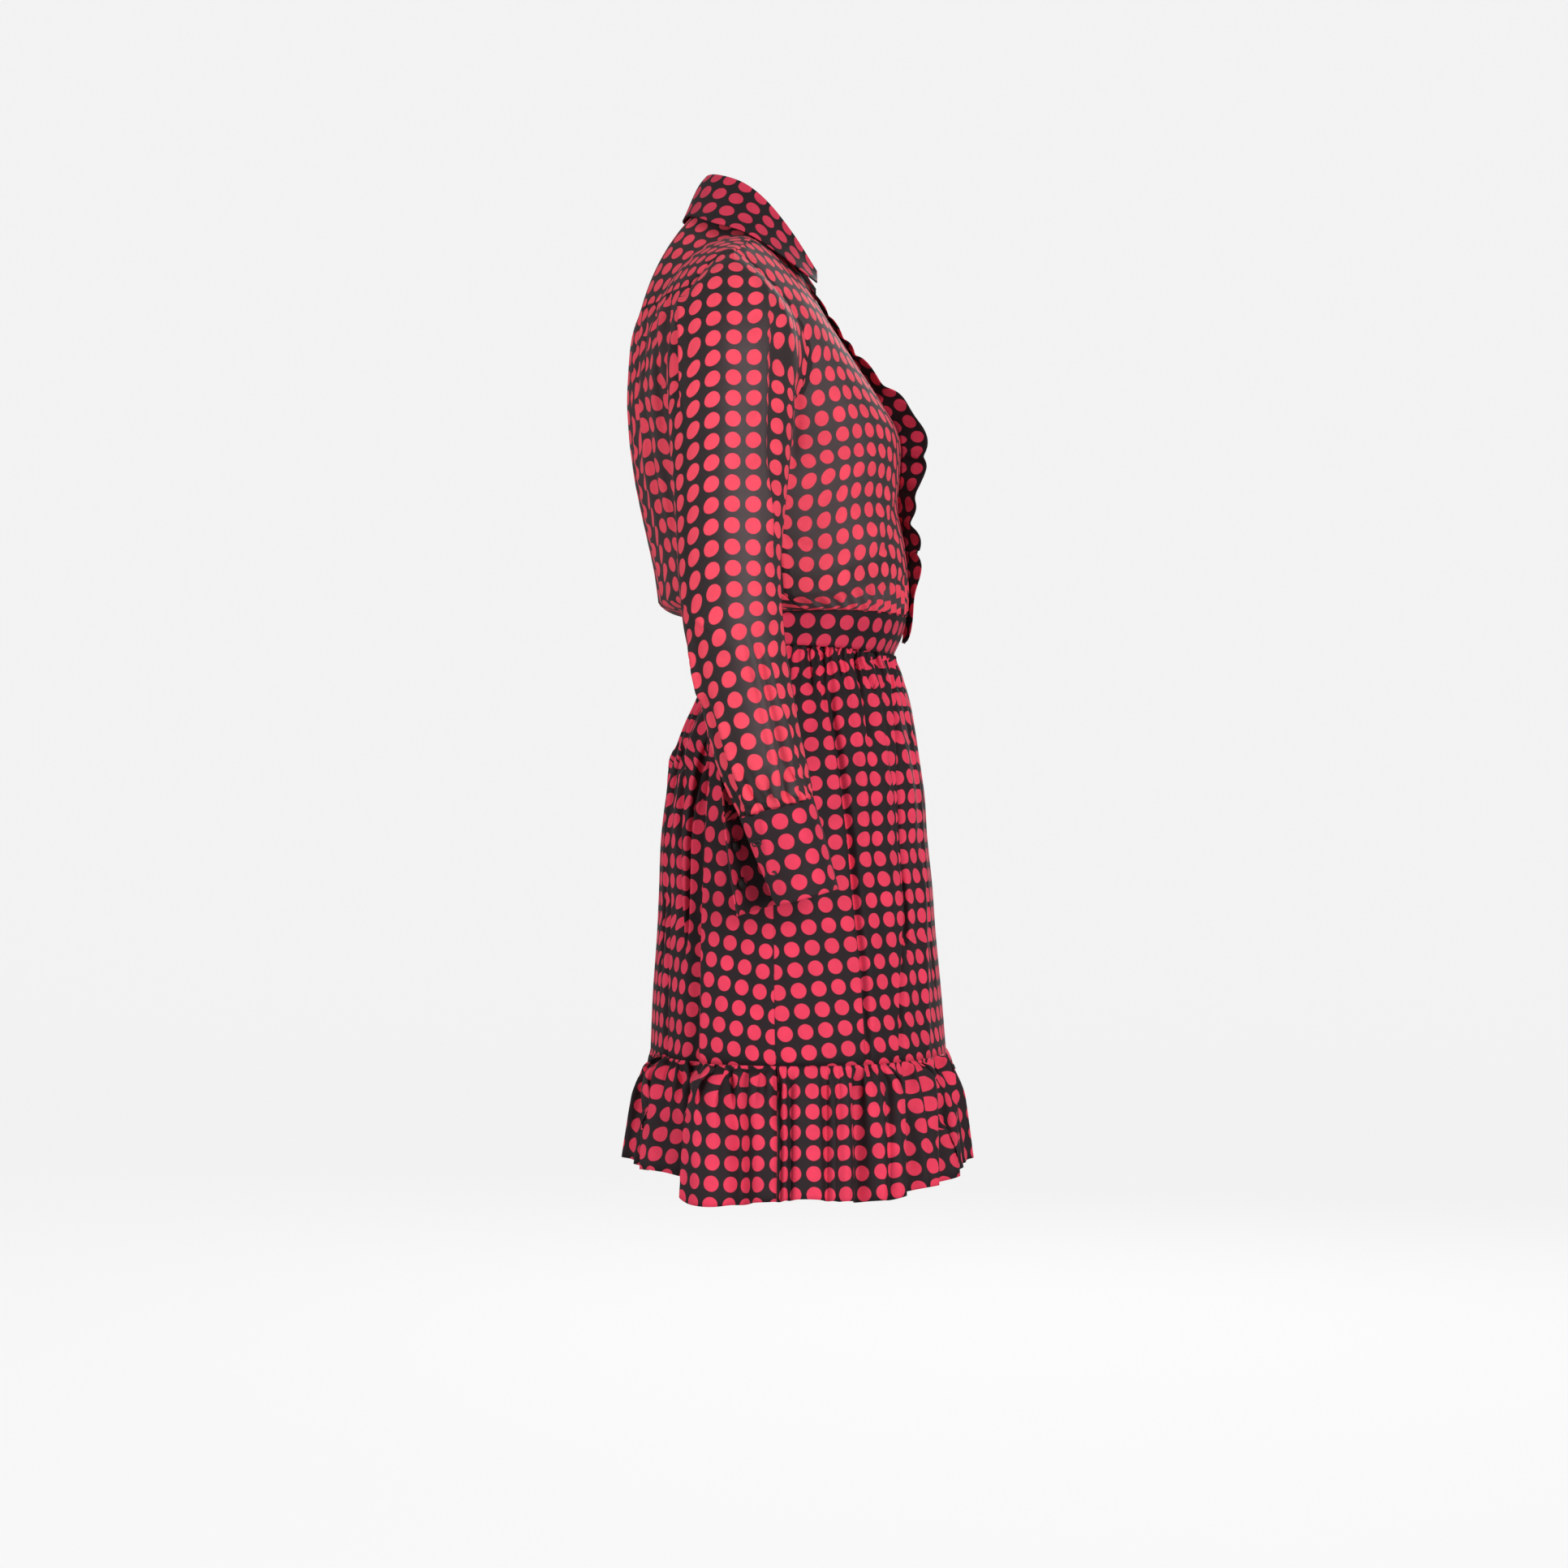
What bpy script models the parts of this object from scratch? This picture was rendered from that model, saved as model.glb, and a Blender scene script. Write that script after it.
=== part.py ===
"""A long-sleeved shirt dress in polka dot cloth, in the hollow form it has when it is worn.

Metres, +Z up. The front faces -Y and the wearer's left is +X. The origin is inside the neck,
level with the tops of the shoulders. In the tables, "front" and "back" are distances ahead of
the origin (so -Y), "drop" is the distance below it, and "half" is half a width along X.
Every cloth piece is a grid of points, rows running down the cloth and columns across it,
made into a wall by a Solidify modifier whose outer face passes through the points.
"""

import math

import bmesh
import bpy
import numpy as np
from mathutils import Vector

# Cloth and making up
WALL = 0.0012
BAND_WALL = 0.0015
SEAM_GAP = 0.0003
MERGE = 0.00001

# The shoulder line, where the front and the back of the bodice meet: x is from the centre
SHOULDER_COLUMNS = "x front drop"
SHOULDER_ROWS = [
    (0.000, 0.020, -0.060),
    (0.035, 0.008, -0.044),
    (0.068, -0.004, -0.003),
    (0.120, -0.012, 0.015),
    (0.186, -0.016, 0.036),
]

# The bodice round the body
BODICE_COLUMNS = "drop front back half"
BODICE_ROWS = [
    (-0.020, 0.028, -0.112, 0.186),
    (0.020, 0.038, -0.113, 0.186),
    (0.060, 0.057, -0.113, 0.185),
    (0.090, 0.076, -0.113, 0.181),
    (0.120, 0.096, -0.1125, 0.176),
    (0.150, 0.116, -0.1130, 0.169),
    (0.177, 0.131, -0.1115, 0.163),
    (0.210, 0.132, -0.109, 0.157),
    (0.243, 0.130, -0.103, 0.153),
    (0.276, 0.136, -0.096, 0.151),
    (0.300, 0.139, -0.091, 0.150),
    (0.328, 0.140, -0.087, 0.149),
]
BODICE_SQUARENESS = 2.3

# How the cloth turns over the shoulder: the cloth it takes, and how far it drops meanwhile
TURN_CLOTH_FRONT = 0.100
TURN_CLOTH_BACK = 0.160
TURN_DROP_FRONT = 0.070
TURN_DROP_BACK_CENTRE = 0.200
TURN_DROP_BACK_SIDE = 0.120

# The bodice is longer than the body: it hangs over the waistband and turns under
FOLD_CLOTH = 0.365
FOLD_DROP = 0.328
TUCK_CLOTH = 0.050
TUCK_SAG = 0.010
TUCK_SAG_FRONT = 0.002
TUCK_FULLNESS = 0.6
TUCK_SHARES = (0.0, 0.25, 0.5, 1.0)

# The armhole: its length in cloth below the shoulder line, and how far it is cut into the panel
ARMHOLE_FRONT_CLOTH = 0.202
ARMHOLE_BACK_CLOTH = 0.203
ARMHOLE_FRONT_SCOOP = math.radians(33)
ARMHOLE_BACK_SCOOP = math.radians(30)
ARMHOLE_FRONT_EARLINESS = 0.85
ARMHOLE_BACK_EARLINESS = 1.15
EDGE_GAP_ANGLE = math.radians(0.12)
SHOULDER_TIP_ANGLE = math.radians(86.5)
SHOULDER_TIP_CLOTH = 0.02

# The neckline: its distance from the centre at each cloth distance below the shoulder line
NECK_COLUMNS = "cloth x"
NECK_ROWS = [
    (0.000, 0.0680),
    (0.050, 0.0655),
    (0.090, 0.0580),
    (0.116, 0.0500),
    (0.142, 0.0380),
    (0.173, 0.0240),
    (0.190, 0.0140),
    (0.215, 0.0000),
]
NAPE_CLOTH = 0.061
LAP_X = 0.006
LAP_START_CLOTH = 0.205
LAP_SINK = 0.0022
LAP_SINK_X = 0.035
LAP_EASE = 0.020

# The yoke: how far it comes over to the front, and the level of its seam at the back
YOKE_OVER = 0.016
YOKE_SEAM_DROP = 0.064
NECK_SIDE_X = 0.068
BACK_GATHERS = 26
BACK_GATHER_DEPTH = 0.0018

# The waistband, lower at the front than at the back
WAIST_TOP_DROP = 0.337
WAIST_TOP_TILT = 0.004
WAIST_BOTTOM_DROP = 0.3715
WAIST_BOTTOM_TILT = 0.0055

# The waistband and the skirt round the body
SKIRT_COLUMNS = "drop front back half"
SKIRT_ROWS = [
    (0.330, 0.1385, -0.0390, 0.1195),
    (0.350, 0.1370, -0.0385, 0.1190),
    (0.366, 0.1310, -0.0375, 0.1185),
    (0.377, 0.1265, -0.0395, 0.1205),
    (0.392, 0.1320, -0.0445, 0.1270),
    (0.414, 0.1395, -0.0525, 0.1380),
    (0.443, 0.1455, -0.0660, 0.1500),
    (0.472, 0.1500, -0.0755, 0.1595),
    (0.503, 0.1545, -0.0810, 0.1670),
    (0.540, 0.1570, -0.0855, 0.1730),
    (0.589, 0.1620, -0.0875, 0.1785),
    (0.624, 0.1645, -0.0890, 0.1820),
    (0.683, 0.1700, -0.0930, 0.1890),
    (0.733, 0.1740, -0.0950, 0.1935),
]
SKIRT_SQUARENESS = 2.15
SKIRT_BOTTOM_DROP = 0.733
SIDE_SEAM = math.radians(96)
WAIST_GATHERS = 30
WAIST_GATHER_DEPTH = 0.0020
WAIST_GATHER_REACH = 0.075
SKIRT_FOLDS = 15
SKIRT_FOLD_DEPTH = 0.0032

# The flounce: how far it stands out from the skirt's bottom edge, by share of its height
FLOUNCE_COLUMNS = "share out"
FLOUNCE_ROWS = [
    (0.00, 0.0000),
    (0.10, 0.0040),
    (0.40, 0.0085),
    (1.00, 0.0150),
]
FLOUNCE_HEIGHT = 0.111
FLOUNCE_FRONT_LIFT = 0.016
FLOUNCE_SIDE_SPREAD = 0.016
FLOUNCE_WAVES = 27
FLOUNCE_WAVE_TOP = 0.0011
FLOUNCE_WAVE_HEM = 0.0085

# The sleeve below the armhole: its outer and body sides, and its middle and half depth fore and aft
SLEEVE_COLUMNS = "outer_x outer_drop inner_x inner_drop front half_depth"
SLEEVE_ROWS = [
    (0.2200, 0.0640, 0.1680, 0.2060, -0.0170, 0.0550),
    (0.2430, 0.1120, 0.1760, 0.2330, -0.0180, 0.0530),
    (0.2570, 0.1700, 0.1810, 0.2640, -0.0185, 0.0500),
    (0.2650, 0.2350, 0.1860, 0.3000, -0.0190, 0.0455),
    (0.2700, 0.3000, 0.1900, 0.3380, -0.0190, 0.0425),
    (0.2740, 0.3520, 0.1930, 0.3730, -0.0155, 0.0415),
    (0.2760, 0.4000, 0.1955, 0.4110, -0.0075, 0.0395),
    (0.2765, 0.4450, 0.1975, 0.4500, 0.0010, 0.0385),
    (0.2750, 0.4800, 0.1995, 0.4830, 0.0095, 0.0370),
]
SLEEVE_SEAM_STEP = 0.0020
SLEEVE_FOLDS = 5
SLEEVE_FOLD_DEPTH = 0.0022
CUFF_GATHERS = 11
CUFF_GATHER_DEPTH = 0.0026
CUFF_GATHER_REACH = 0.30

# The cuff, worn unbuttoned: an open band whose underlap swings out behind the overlap. Its table
# gives the angle of the overlap's end in degrees, and how much wider the underlap's end stands
CUFF_X = 0.2395
CUFF_HALF_X = 0.0325
CUFF_COLUMNS = "share front drop half_depth lap_angle swing"
CUFF_ROWS = [
    (0.0, 0.0200, 0.5120, 0.0300, 172, 1.43),
    (0.5, 0.0320, 0.5500, 0.0290, 158, 1.74),
    (1.0, 0.0440, 0.5880, 0.0275, 145, 2.03),
]
CUFF_SLOPE = 0.17
SWING_START = math.radians(-105)
UNDERLAP_ANGLE = math.radians(-180)
BUTTON_SHARES = (0.28, 0.68)
BUTTON_RADIUS = 0.0055
BUTTON_HEIGHT = 0.0032
BUTTON_PLACE = 0.945
BUTTON_SHANK = 0.0021

# The collar, from the centre back to its front end: the fold at its top and its outer edge
COLLAR_COLUMNS = "share fold_x fold_front fold_drop edge_x edge_front edge_drop"
COLLAR_ROWS = [
    (0.00, 0.000, -0.0415, -0.0600, 0.000, -0.0650, -0.0190),
    (0.20, 0.029, -0.0310, -0.0560, 0.038, -0.0570, -0.0180),
    (0.40, 0.049, -0.0090, -0.0450, 0.078, -0.0360, -0.0050),
    (0.60, 0.055, 0.0120, -0.0270, 0.096, -0.0080, 0.0065),
    (0.80, 0.054, 0.0350, 0.0020, 0.094, 0.0230, 0.0260),
    (1.00, 0.049, 0.0555, 0.0340, 0.075, 0.0555, 0.0480),
]
COLLAR_END_CLOTH = 0.078
COLLAR_ROLL = 0.0026
COLLAR_LIFT = 0.0009

# The front ruffles: how far they stand off the front, lean away from the centre, and wave
RUFFLE_COLUMNS = "cloth stand lean wave"
RUFFLE_ROWS = [
    (0.090, 0.0035, 0.012, 0.0018),
    (0.110, 0.0050, 0.020, 0.0024),
    (0.140, 0.0058, 0.024, 0.0028),
    (0.167, 0.0060, 0.024, 0.0030),
    (0.186, 0.0066, 0.024, 0.0034),
    (0.210, 0.0112, 0.022, 0.0040),
    (0.240, 0.0218, 0.016, 0.0048),
    (0.270, 0.0225, 0.017, 0.0048),
    (0.295, 0.0178, 0.022, 0.0048),
    (0.320, 0.0112, 0.026, 0.0044),
    (0.345, 0.0118, 0.024, 0.0044),
    (0.365, 0.0112, 0.020, 0.0040),
    (0.385, 0.0066, 0.016, 0.0030),
    (0.400, 0.0022, 0.012, 0.0014),
]
RUFFLE_BASE_X = 0.0085
RUFFLE_TAIL_START = 0.345
RUFFLE_TAIL_FRONT = 0.1338
RUFFLE_TAIL_DROP = 0.3640
RUFFLE_TAIL_LATENESS = 5
RUFFLE_OFF_CLOTH = 0.0021
RUFFLE_LEAST_X = 0.0022
RUFFLE_WAVES = 15

CLOTH_OPAQUE = ((0.62, 0.03, 0.09, 1.0), 0.75)
CLOTH_SHEER = ((0.80, 0.08, 0.13, 1.0), 0.65)


def table(columns, rows):
    """The rows as one array for each named column."""
    return dict(zip(columns.split(), np.array(rows, float).T))


SHOULDER = table(SHOULDER_COLUMNS, SHOULDER_ROWS)
BODICE = table(BODICE_COLUMNS, BODICE_ROWS)
NECK = table(NECK_COLUMNS, NECK_ROWS)
SKIRT = table(SKIRT_COLUMNS, SKIRT_ROWS)
FLOUNCE = table(FLOUNCE_COLUMNS, FLOUNCE_ROWS)
SLEEVE = table(SLEEVE_COLUMNS, SLEEVE_ROWS)
CUFF = table(CUFF_COLUMNS, CUFF_ROWS)
COLLAR = table(COLLAR_COLUMNS, COLLAR_ROWS)
RUFFLE = table(RUFFLE_COLUMNS, RUFFLE_ROWS)
CHEST_HALF = float(BODICE["half"].max())


def smooth_through(keys, values, at, level_start=False):
    """A smooth curve through the values at the keys, read at each place. It can set off level."""
    at = np.clip(np.asarray(at, float), keys[0], keys[-1])
    slopes = np.gradient(values, keys, axis=0)
    if level_start:
        slopes[0] = 0
    i = np.clip(np.searchsorted(keys, at, side="right") - 1, 0, len(keys) - 2)
    step = keys[i + 1] - keys[i]
    t = (at - keys[i]) / step
    spread = at.shape + (1,) * (np.ndim(values) - 1)
    step, t = step.reshape(spread), t.reshape(spread)
    return (
        (1 + 2 * t) * (1 - t) ** 2 * values[i]
        + t * (1 - t) ** 2 * step * slopes[i]
        + t * t * (3 - 2 * t) * values[i + 1]
        + t * t * (t - 1) * step * slopes[i + 1]
    )


def ease(t):
    """0 to 1 with a soft start and a soft end."""
    t = np.clip(t, 0, 1)
    return t * t * (3 - 2 * t)


def unit(vectors):
    """The vectors at length one."""
    return vectors / np.maximum(np.linalg.norm(vectors, axis=-1, keepdims=True), 1e-9)


def place(x, front, drop):
    """Points from X, distance ahead and drop."""
    return np.stack(np.broadcast_arrays(x, -np.asarray(front), -np.asarray(drop)), axis=-1)


def rounded(value, squareness):
    """A sine or cosine bent so that a circle becomes a squarer ring."""
    return np.sign(value) * np.abs(value) ** (2 / squareness)


def ring(sections, squareness, angle, drop):
    """X and distance ahead round the body: angle 0 is the centre front, and it runs to the left."""
    front = smooth_through(sections["drop"], sections["front"], drop)
    back = smooth_through(sections["drop"], sections["back"], drop)
    half = smooth_through(sections["drop"], sections["half"], drop)
    x = half * rounded(np.sin(angle), squareness)
    return x, (front + back) / 2 + (front - back) / 2 * rounded(np.cos(angle), squareness)


def uneven(angle, count, seed):
    """The phase of so many folds round the body, closer together here and further apart there."""
    return count * angle + 0.9 * np.sin(2 * angle + seed) + 0.7 * np.sin(5 * angle + 2.3 * seed)


def pushed(points, amount):
    """Points moved away from the upright line through the body's middle."""
    middle = place(0.0, 0.035, 0.0)
    away = unit((points - middle) * np.array([1.0, 1.0, 0.0]))
    return points + away * np.asarray(amount)[..., None]


def shoulder_line(name, x):
    """How far ahead or how low the shoulder line is, so far from the centre."""
    return smooth_through(SHOULDER["x"], SHOULDER[name], np.abs(x), level_start=True)


def turn_drop(x, is_front):
    """How far the cloth drops while it turns over the shoulder."""
    side = np.clip(np.abs(x) / SHOULDER["x"][-1], 0, 1)
    back = TURN_DROP_BACK_CENTRE + side * (TURN_DROP_BACK_SIDE - TURN_DROP_BACK_CENTRE)
    return np.where(is_front, TURN_DROP_FRONT, back)


def bodice(angle, cloth):
    """A point of the bodice: angle round the body, and cloth distance below the shoulder line."""
    angle, cloth = np.broadcast_arrays(np.asarray(angle, float), np.asarray(cloth, float))
    is_front = np.cos(angle) >= 0
    turn_cloth = np.where(is_front, TURN_CLOTH_FRONT, TURN_CLOTH_BACK)
    turn = np.clip(cloth / turn_cloth, 0, 1) * math.pi / 2
    below = np.clip((cloth - turn_cloth) / (FOLD_CLOTH - turn_cloth), 0, 1)
    drop = np.full(angle.shape, 0.1)
    for _ in range(4):
        x, ahead = ring(BODICE, BODICE_SQUARENESS, angle, drop)
        line = shoulder_line("drop", x)
        turned = line + turn_drop(x, is_front) * (1 - np.cos(turn))
        drop = turned + below * (FOLD_DROP - turned)
    line_ahead = shoulder_line("front", x)
    points = place(x, line_ahead + (ahead - line_ahead) * np.sin(turn), drop)
    gathered = ease((drop - YOKE_SEAM_DROP) / 0.015) * (1 - 0.5 * ease((drop - 0.2) / 0.1))
    gathered = gathered * np.clip(-1.6 * np.cos(angle), 0, 1)
    points = pushed(points, BACK_GATHER_DEPTH * gathered * np.sin(uneven(angle, BACK_GATHERS, 0.4)))
    return tucked(points, angle, cloth)


def tucked(points, angle, cloth):
    """The bottom of the bodice, which hangs over the waistband and turns under to its top edge."""
    drop = WAIST_TOP_DROP + WAIST_TOP_TILT * np.cos(angle) - 2 * SEAM_GAP
    x, ahead = ring(SKIRT, SKIRT_SQUARENESS, angle, drop)
    end = pushed(place(x, ahead, drop), np.full(angle.shape, 2 * SEAM_GAP))
    under = np.clip((cloth - FOLD_CLOTH) / TUCK_CLOTH, 0, 1) * math.pi
    share = ((1 - np.cos(under)) / 2)[..., None]
    deepest = TUCK_SAG + (TUCK_SAG_FRONT - TUCK_SAG) * ease(1.2 * np.cos(angle))
    sag = deepest * np.maximum(np.sin(under), 0) ** TUCK_FULLNESS
    return points + (end - points) * share + place(0, 0, sag)


def armhole_angle(cloth, is_front):
    """The angle of the armhole's edge at a cloth distance below the shoulder line."""
    if is_front:
        share = np.clip(np.asarray(cloth) / ARMHOLE_FRONT_CLOTH, 0, 1) ** ARMHOLE_FRONT_EARLINESS
        return math.pi / 2 - ARMHOLE_FRONT_SCOOP * np.sin(math.pi * share)
    share = np.clip(np.asarray(cloth) / ARMHOLE_BACK_CLOTH, 0, 1) ** ARMHOLE_BACK_EARLINESS
    return math.pi / 2 - ARMHOLE_BACK_SCOOP * np.sin(math.pi * share)


def panel_angle(cloth, is_front):
    """The angle of a panel's edge along the armhole and the side seam, just inside the seam."""
    least = np.where(cloth < SHOULDER_TIP_CLOTH, SHOULDER_TIP_ANGLE, math.pi / 2)
    return np.minimum(armhole_angle(cloth, is_front), least) - EDGE_GAP_ANGLE


def angle_at(x):
    """The angle from the centre of a point so far across the chest."""
    return np.arcsin(np.clip(np.asarray(x) / CHEST_HALF, 0, 1) ** (BODICE_SQUARENESS / 2))


def neck_angle(cloth):
    """The angle of the neckline's edge from the centre front."""
    return angle_at(smooth_through(NECK["cloth"], NECK["x"], cloth))


def normals_of(points):
    """Unit normals of a grid of points, on its outer side."""
    down = np.gradient(points, axis=0)
    across = np.gradient(points, axis=1)
    return unit(np.cross(down, across))


def front_panel(is_left, columns, rows):
    """Half of the front, from the neckline to the armhole and the side seam."""
    top = YOKE_OVER + 4 * SEAM_GAP
    body = top + (FOLD_CLOTH - top) * np.linspace(0, 1, rows - 3) ** 1.1
    cloth = np.concatenate([body, FOLD_CLOTH + TUCK_CLOTH * np.array(TUCK_SHARES[1:])])[:, None]
    lap = angle_at(LAP_X) * ease((cloth - LAP_START_CLOTH) / LAP_EASE)
    inner = neck_angle(cloth) - lap
    outer = panel_angle(cloth, True)
    points = bodice(inner + (outer - inner) * np.linspace(0, 1, columns)[None, :], cloth)
    if is_left:
        lapped = ease((LAP_SINK_X - points[..., :1]) / LAP_EASE)
        lapped = lapped * ease((cloth - LAP_START_CLOTH + LAP_EASE) / LAP_EASE)[..., None]
        return points - normals_of(points) * LAP_SINK * lapped
    return mirrored(points)


def back_panel(columns, rows):
    """The gathered back below the yoke, from side seam to side seam."""
    across = np.linspace(-1, 1, columns)[None, :]
    seam = yoke_seam_cloth(across) + 2 * SEAM_GAP
    body = seam + (FOLD_CLOTH - seam) * np.linspace(0, 1, rows - 3)[:, None]
    under = FOLD_CLOTH + TUCK_CLOTH * np.array(TUCK_SHARES[1:])[:, None] + 0 * across
    cloth = np.concatenate([body, under])
    outer = panel_angle(cloth, False)
    return bodice(math.pi + outer * across, cloth)


def yoke_seam_cloth(across):
    """The cloth distance to the yoke's level back seam: across is -1 and 1 at the armholes."""
    cloth = np.full(np.shape(across), YOKE_SEAM_DROP)
    for _ in range(4):
        angle = np.abs(across) * armhole_angle(cloth, False)
        x = CHEST_HALF * rounded(np.sin(angle), BODICE_SQUARENESS)
        line = shoulder_line("drop", x)
        turn = np.arccos(1 - (YOKE_SEAM_DROP - line) / turn_drop(x, False))
        cloth = TURN_CLOTH_BACK * turn / (math.pi / 2)
    return cloth


def yoke_top_cloth(x):
    """The yoke's upper edge: along the nape at the back, ahead of the shoulder line at the sides."""
    inside = np.clip(1 - (x / NECK_SIDE_X) ** 2, 0, 1)
    return -YOKE_OVER + (NAPE_CLOTH + YOKE_OVER) * np.sqrt(inside)


def over_shoulder(across, cloth):
    """A bodice point at a share of the width, ahead of the shoulder line where the cloth is negative."""
    share, side = np.abs(across), np.where(across < 0, -1, 1)
    to_front = share * panel_angle(-cloth, True)
    to_back = math.pi - share * panel_angle(cloth, False)
    return bodice(side * np.where(cloth < 0, to_front, to_back), np.abs(cloth))


def across_at(x):
    """The share of the width, from the centre to an armhole, of a place on the shoulder line."""
    return angle_at(x) / (math.pi / 2)


def yoke_panel(columns, rows):
    """The yoke: the upper back, and over the shoulders to the front."""
    side = np.linspace(1, -1, columns)
    x = np.abs(side) ** 0.85 * CHEST_HALF
    across = np.sign(side) * across_at(x)
    top = yoke_top_cloth(x)
    share = np.linspace(0, 1, rows)[:, None]
    return over_shoulder(across, top + (yoke_seam_cloth(across) - top) * share)


def armhole_loop(count):
    """The armhole on the wearer's left as a ring: back, shoulder, front, underarm and back again."""
    share = np.linspace(0, 1, 200)
    back_cloth = share * ARMHOLE_BACK_CLOTH
    front_cloth = share * ARMHOLE_FRONT_CLOTH
    back = bodice(math.pi - armhole_angle(back_cloth, False), back_cloth)
    front = bodice(armhole_angle(front_cloth, True), front_cloth)
    whole = np.concatenate([back[100:0:-1], front, back[:99:-1]])
    steps = np.linalg.norm(np.diff(whole, axis=0), axis=1)
    travelled = np.concatenate([[0], np.cumsum(steps)])
    quarters = travelled[[0, 100, 299, -1]]
    at = np.interp(np.linspace(0, 1, count), [0.0, 0.25, 0.75, 1.0], quarters)
    return np.stack([np.interp(at, travelled, whole[:, k]) for k in range(3)], axis=-1)


def cuff_grid(share, around):
    """Points of the left cuff: share of its height, and round it from the overlap to the underlap."""
    read = {name: smooth_through(CUFF["share"], CUFF[name], share) for name in CUFF}
    start = np.radians(read["lap_angle"])
    angle = start + (UNDERLAP_ANGLE - start) * around
    swung = ease((SWING_START - angle) / (SWING_START - UNDERLAP_ANGLE))
    wider = 1 + (read["swing"] - 1) * swung
    along = read["half_depth"] * wider * np.cos(angle)
    across = CUFF_HALF_X * wider * np.sin(angle)
    return place(CUFF_X + across, read["front"] + along, read["drop"] - CUFF_SLOPE * along)


def sleeve_grid(columns, rows):
    """The left sleeve as a tube from the armhole to the cuff, open at the back just above the cuff."""
    around = np.linspace(0, 1, columns)
    angle = math.pi - 2 * math.pi * around
    loop = armhole_loop(columns) + place(SLEEVE_SEAM_STEP, 0, 0)
    middle_x = (SLEEVE["outer_x"] + SLEEVE["inner_x"]) / 2
    middle_drop = (SLEEVE["outer_drop"] + SLEEVE["inner_drop"]) / 2
    reach_x = (SLEEVE["outer_x"] - SLEEVE["inner_x"]) / 2
    reach_drop = (SLEEVE["outer_drop"] - SLEEVE["inner_drop"]) / 2
    sections = place(
        middle_x[:, None] + reach_x[:, None] * np.sin(angle),
        SLEEVE["front"][:, None] + SLEEVE["half_depth"][:, None] * np.cos(angle),
        middle_drop[:, None] + reach_drop[:, None] * np.sin(angle),
    )
    end = cuff_grid(0.0, around) - place(0, 0, SEAM_GAP)
    rings = np.concatenate([loop[None], sections, end[None]])
    middles = rings.mean(axis=1)
    steps = np.linalg.norm(np.diff(middles, axis=0), axis=1)
    keys = np.concatenate([[0], np.cumsum(steps)]) / steps.sum()
    down = np.concatenate([[0, 0.04, 0.08], np.linspace(0.13, 1, rows - 3)])
    points = smooth_through(keys, rings, down)
    away = unit(points - smooth_through(keys, middles, down)[:, None])
    down = down[:, None]
    soft = SLEEVE_FOLD_DEPTH * ease((down - 0.12) / 0.2) * ease((1 - down) / 0.2)
    to_cuff = ease((down - 1 + CUFF_GATHER_REACH) / CUFF_GATHER_REACH)
    to_cuff = to_cuff * (0.35 + 0.65 * ease((1 - down) / 0.05))
    wave = soft * np.sin(uneven(angle, SLEEVE_FOLDS, 1.1))
    wave = wave + CUFF_GATHER_DEPTH * to_cuff * np.sin(uneven(angle, CUFF_GATHERS, 0.7))
    return points + away * wave[..., None]


def half_round(is_front, columns):
    """Angles across the front or the back, from side seam to side seam, clear of the seams."""
    if is_front:
        return np.linspace(-SIDE_SEAM + EDGE_GAP_ANGLE, SIDE_SEAM - EDGE_GAP_ANGLE, columns)[None, :]
    start = SIDE_SEAM + EDGE_GAP_ANGLE
    return np.linspace(start, 2 * math.pi - start, columns)[None, :]


def skirt_panel(is_front, columns, rows):
    """The front or the back of the skirt, from the waistband to the flounce."""
    angle = half_round(is_front, columns)
    share = (np.linspace(0, 1, rows) ** 1.35)[:, None]
    top = WAIST_BOTTOM_DROP + WAIST_BOTTOM_TILT * np.cos(angle) + SEAM_GAP
    drop = top + (SKIRT_BOTTOM_DROP - top) * share
    fallen = drop - top
    gather = np.exp(-fallen / WAIST_GATHER_REACH) * (0.45 + 0.55 * ease(fallen / 0.01))
    gather = WAIST_GATHER_DEPTH * gather * np.sin(uneven(angle, WAIST_GATHERS, 0.9))
    fold = ease(fallen / 0.06) * (1 - 0.45 * ease((drop - 0.6) / 0.133))
    fold = SKIRT_FOLD_DEPTH * fold * np.sin(uneven(angle, SKIRT_FOLDS, 2.1))
    x, ahead = ring(SKIRT, SKIRT_SQUARENESS, angle, drop)
    return pushed(place(x, ahead, drop), gather + fold)


def flounce_panel(is_front, columns):
    """The front or the back of the gathered strip along the hem."""
    angle = half_round(is_front, columns)
    share = FLOUNCE["share"][:, None]
    height = FLOUNCE_HEIGHT - FLOUNCE_FRONT_LIFT * ease((np.cos(angle) - 0.3) / 0.7)
    out = FLOUNCE["out"][:, None] + FLOUNCE_SIDE_SPREAD * np.abs(np.sin(angle)) * share
    depth = FLOUNCE_WAVE_TOP + (FLOUNCE_WAVE_HEM - FLOUNCE_WAVE_TOP) * share**0.8
    depth = depth * (0.78 + 0.22 * np.sin(4 * angle + 0.5))
    wave = depth * np.sin(uneven(angle, FLOUNCE_WAVES, 1.7))
    x, ahead = ring(SKIRT, SKIRT_SQUARENESS, angle, np.full(angle.shape, SKIRT_BOTTOM_DROP))
    return pushed(place(x, ahead, SKIRT_BOTTOM_DROP + SEAM_GAP + share * height), out + wave)


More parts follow.
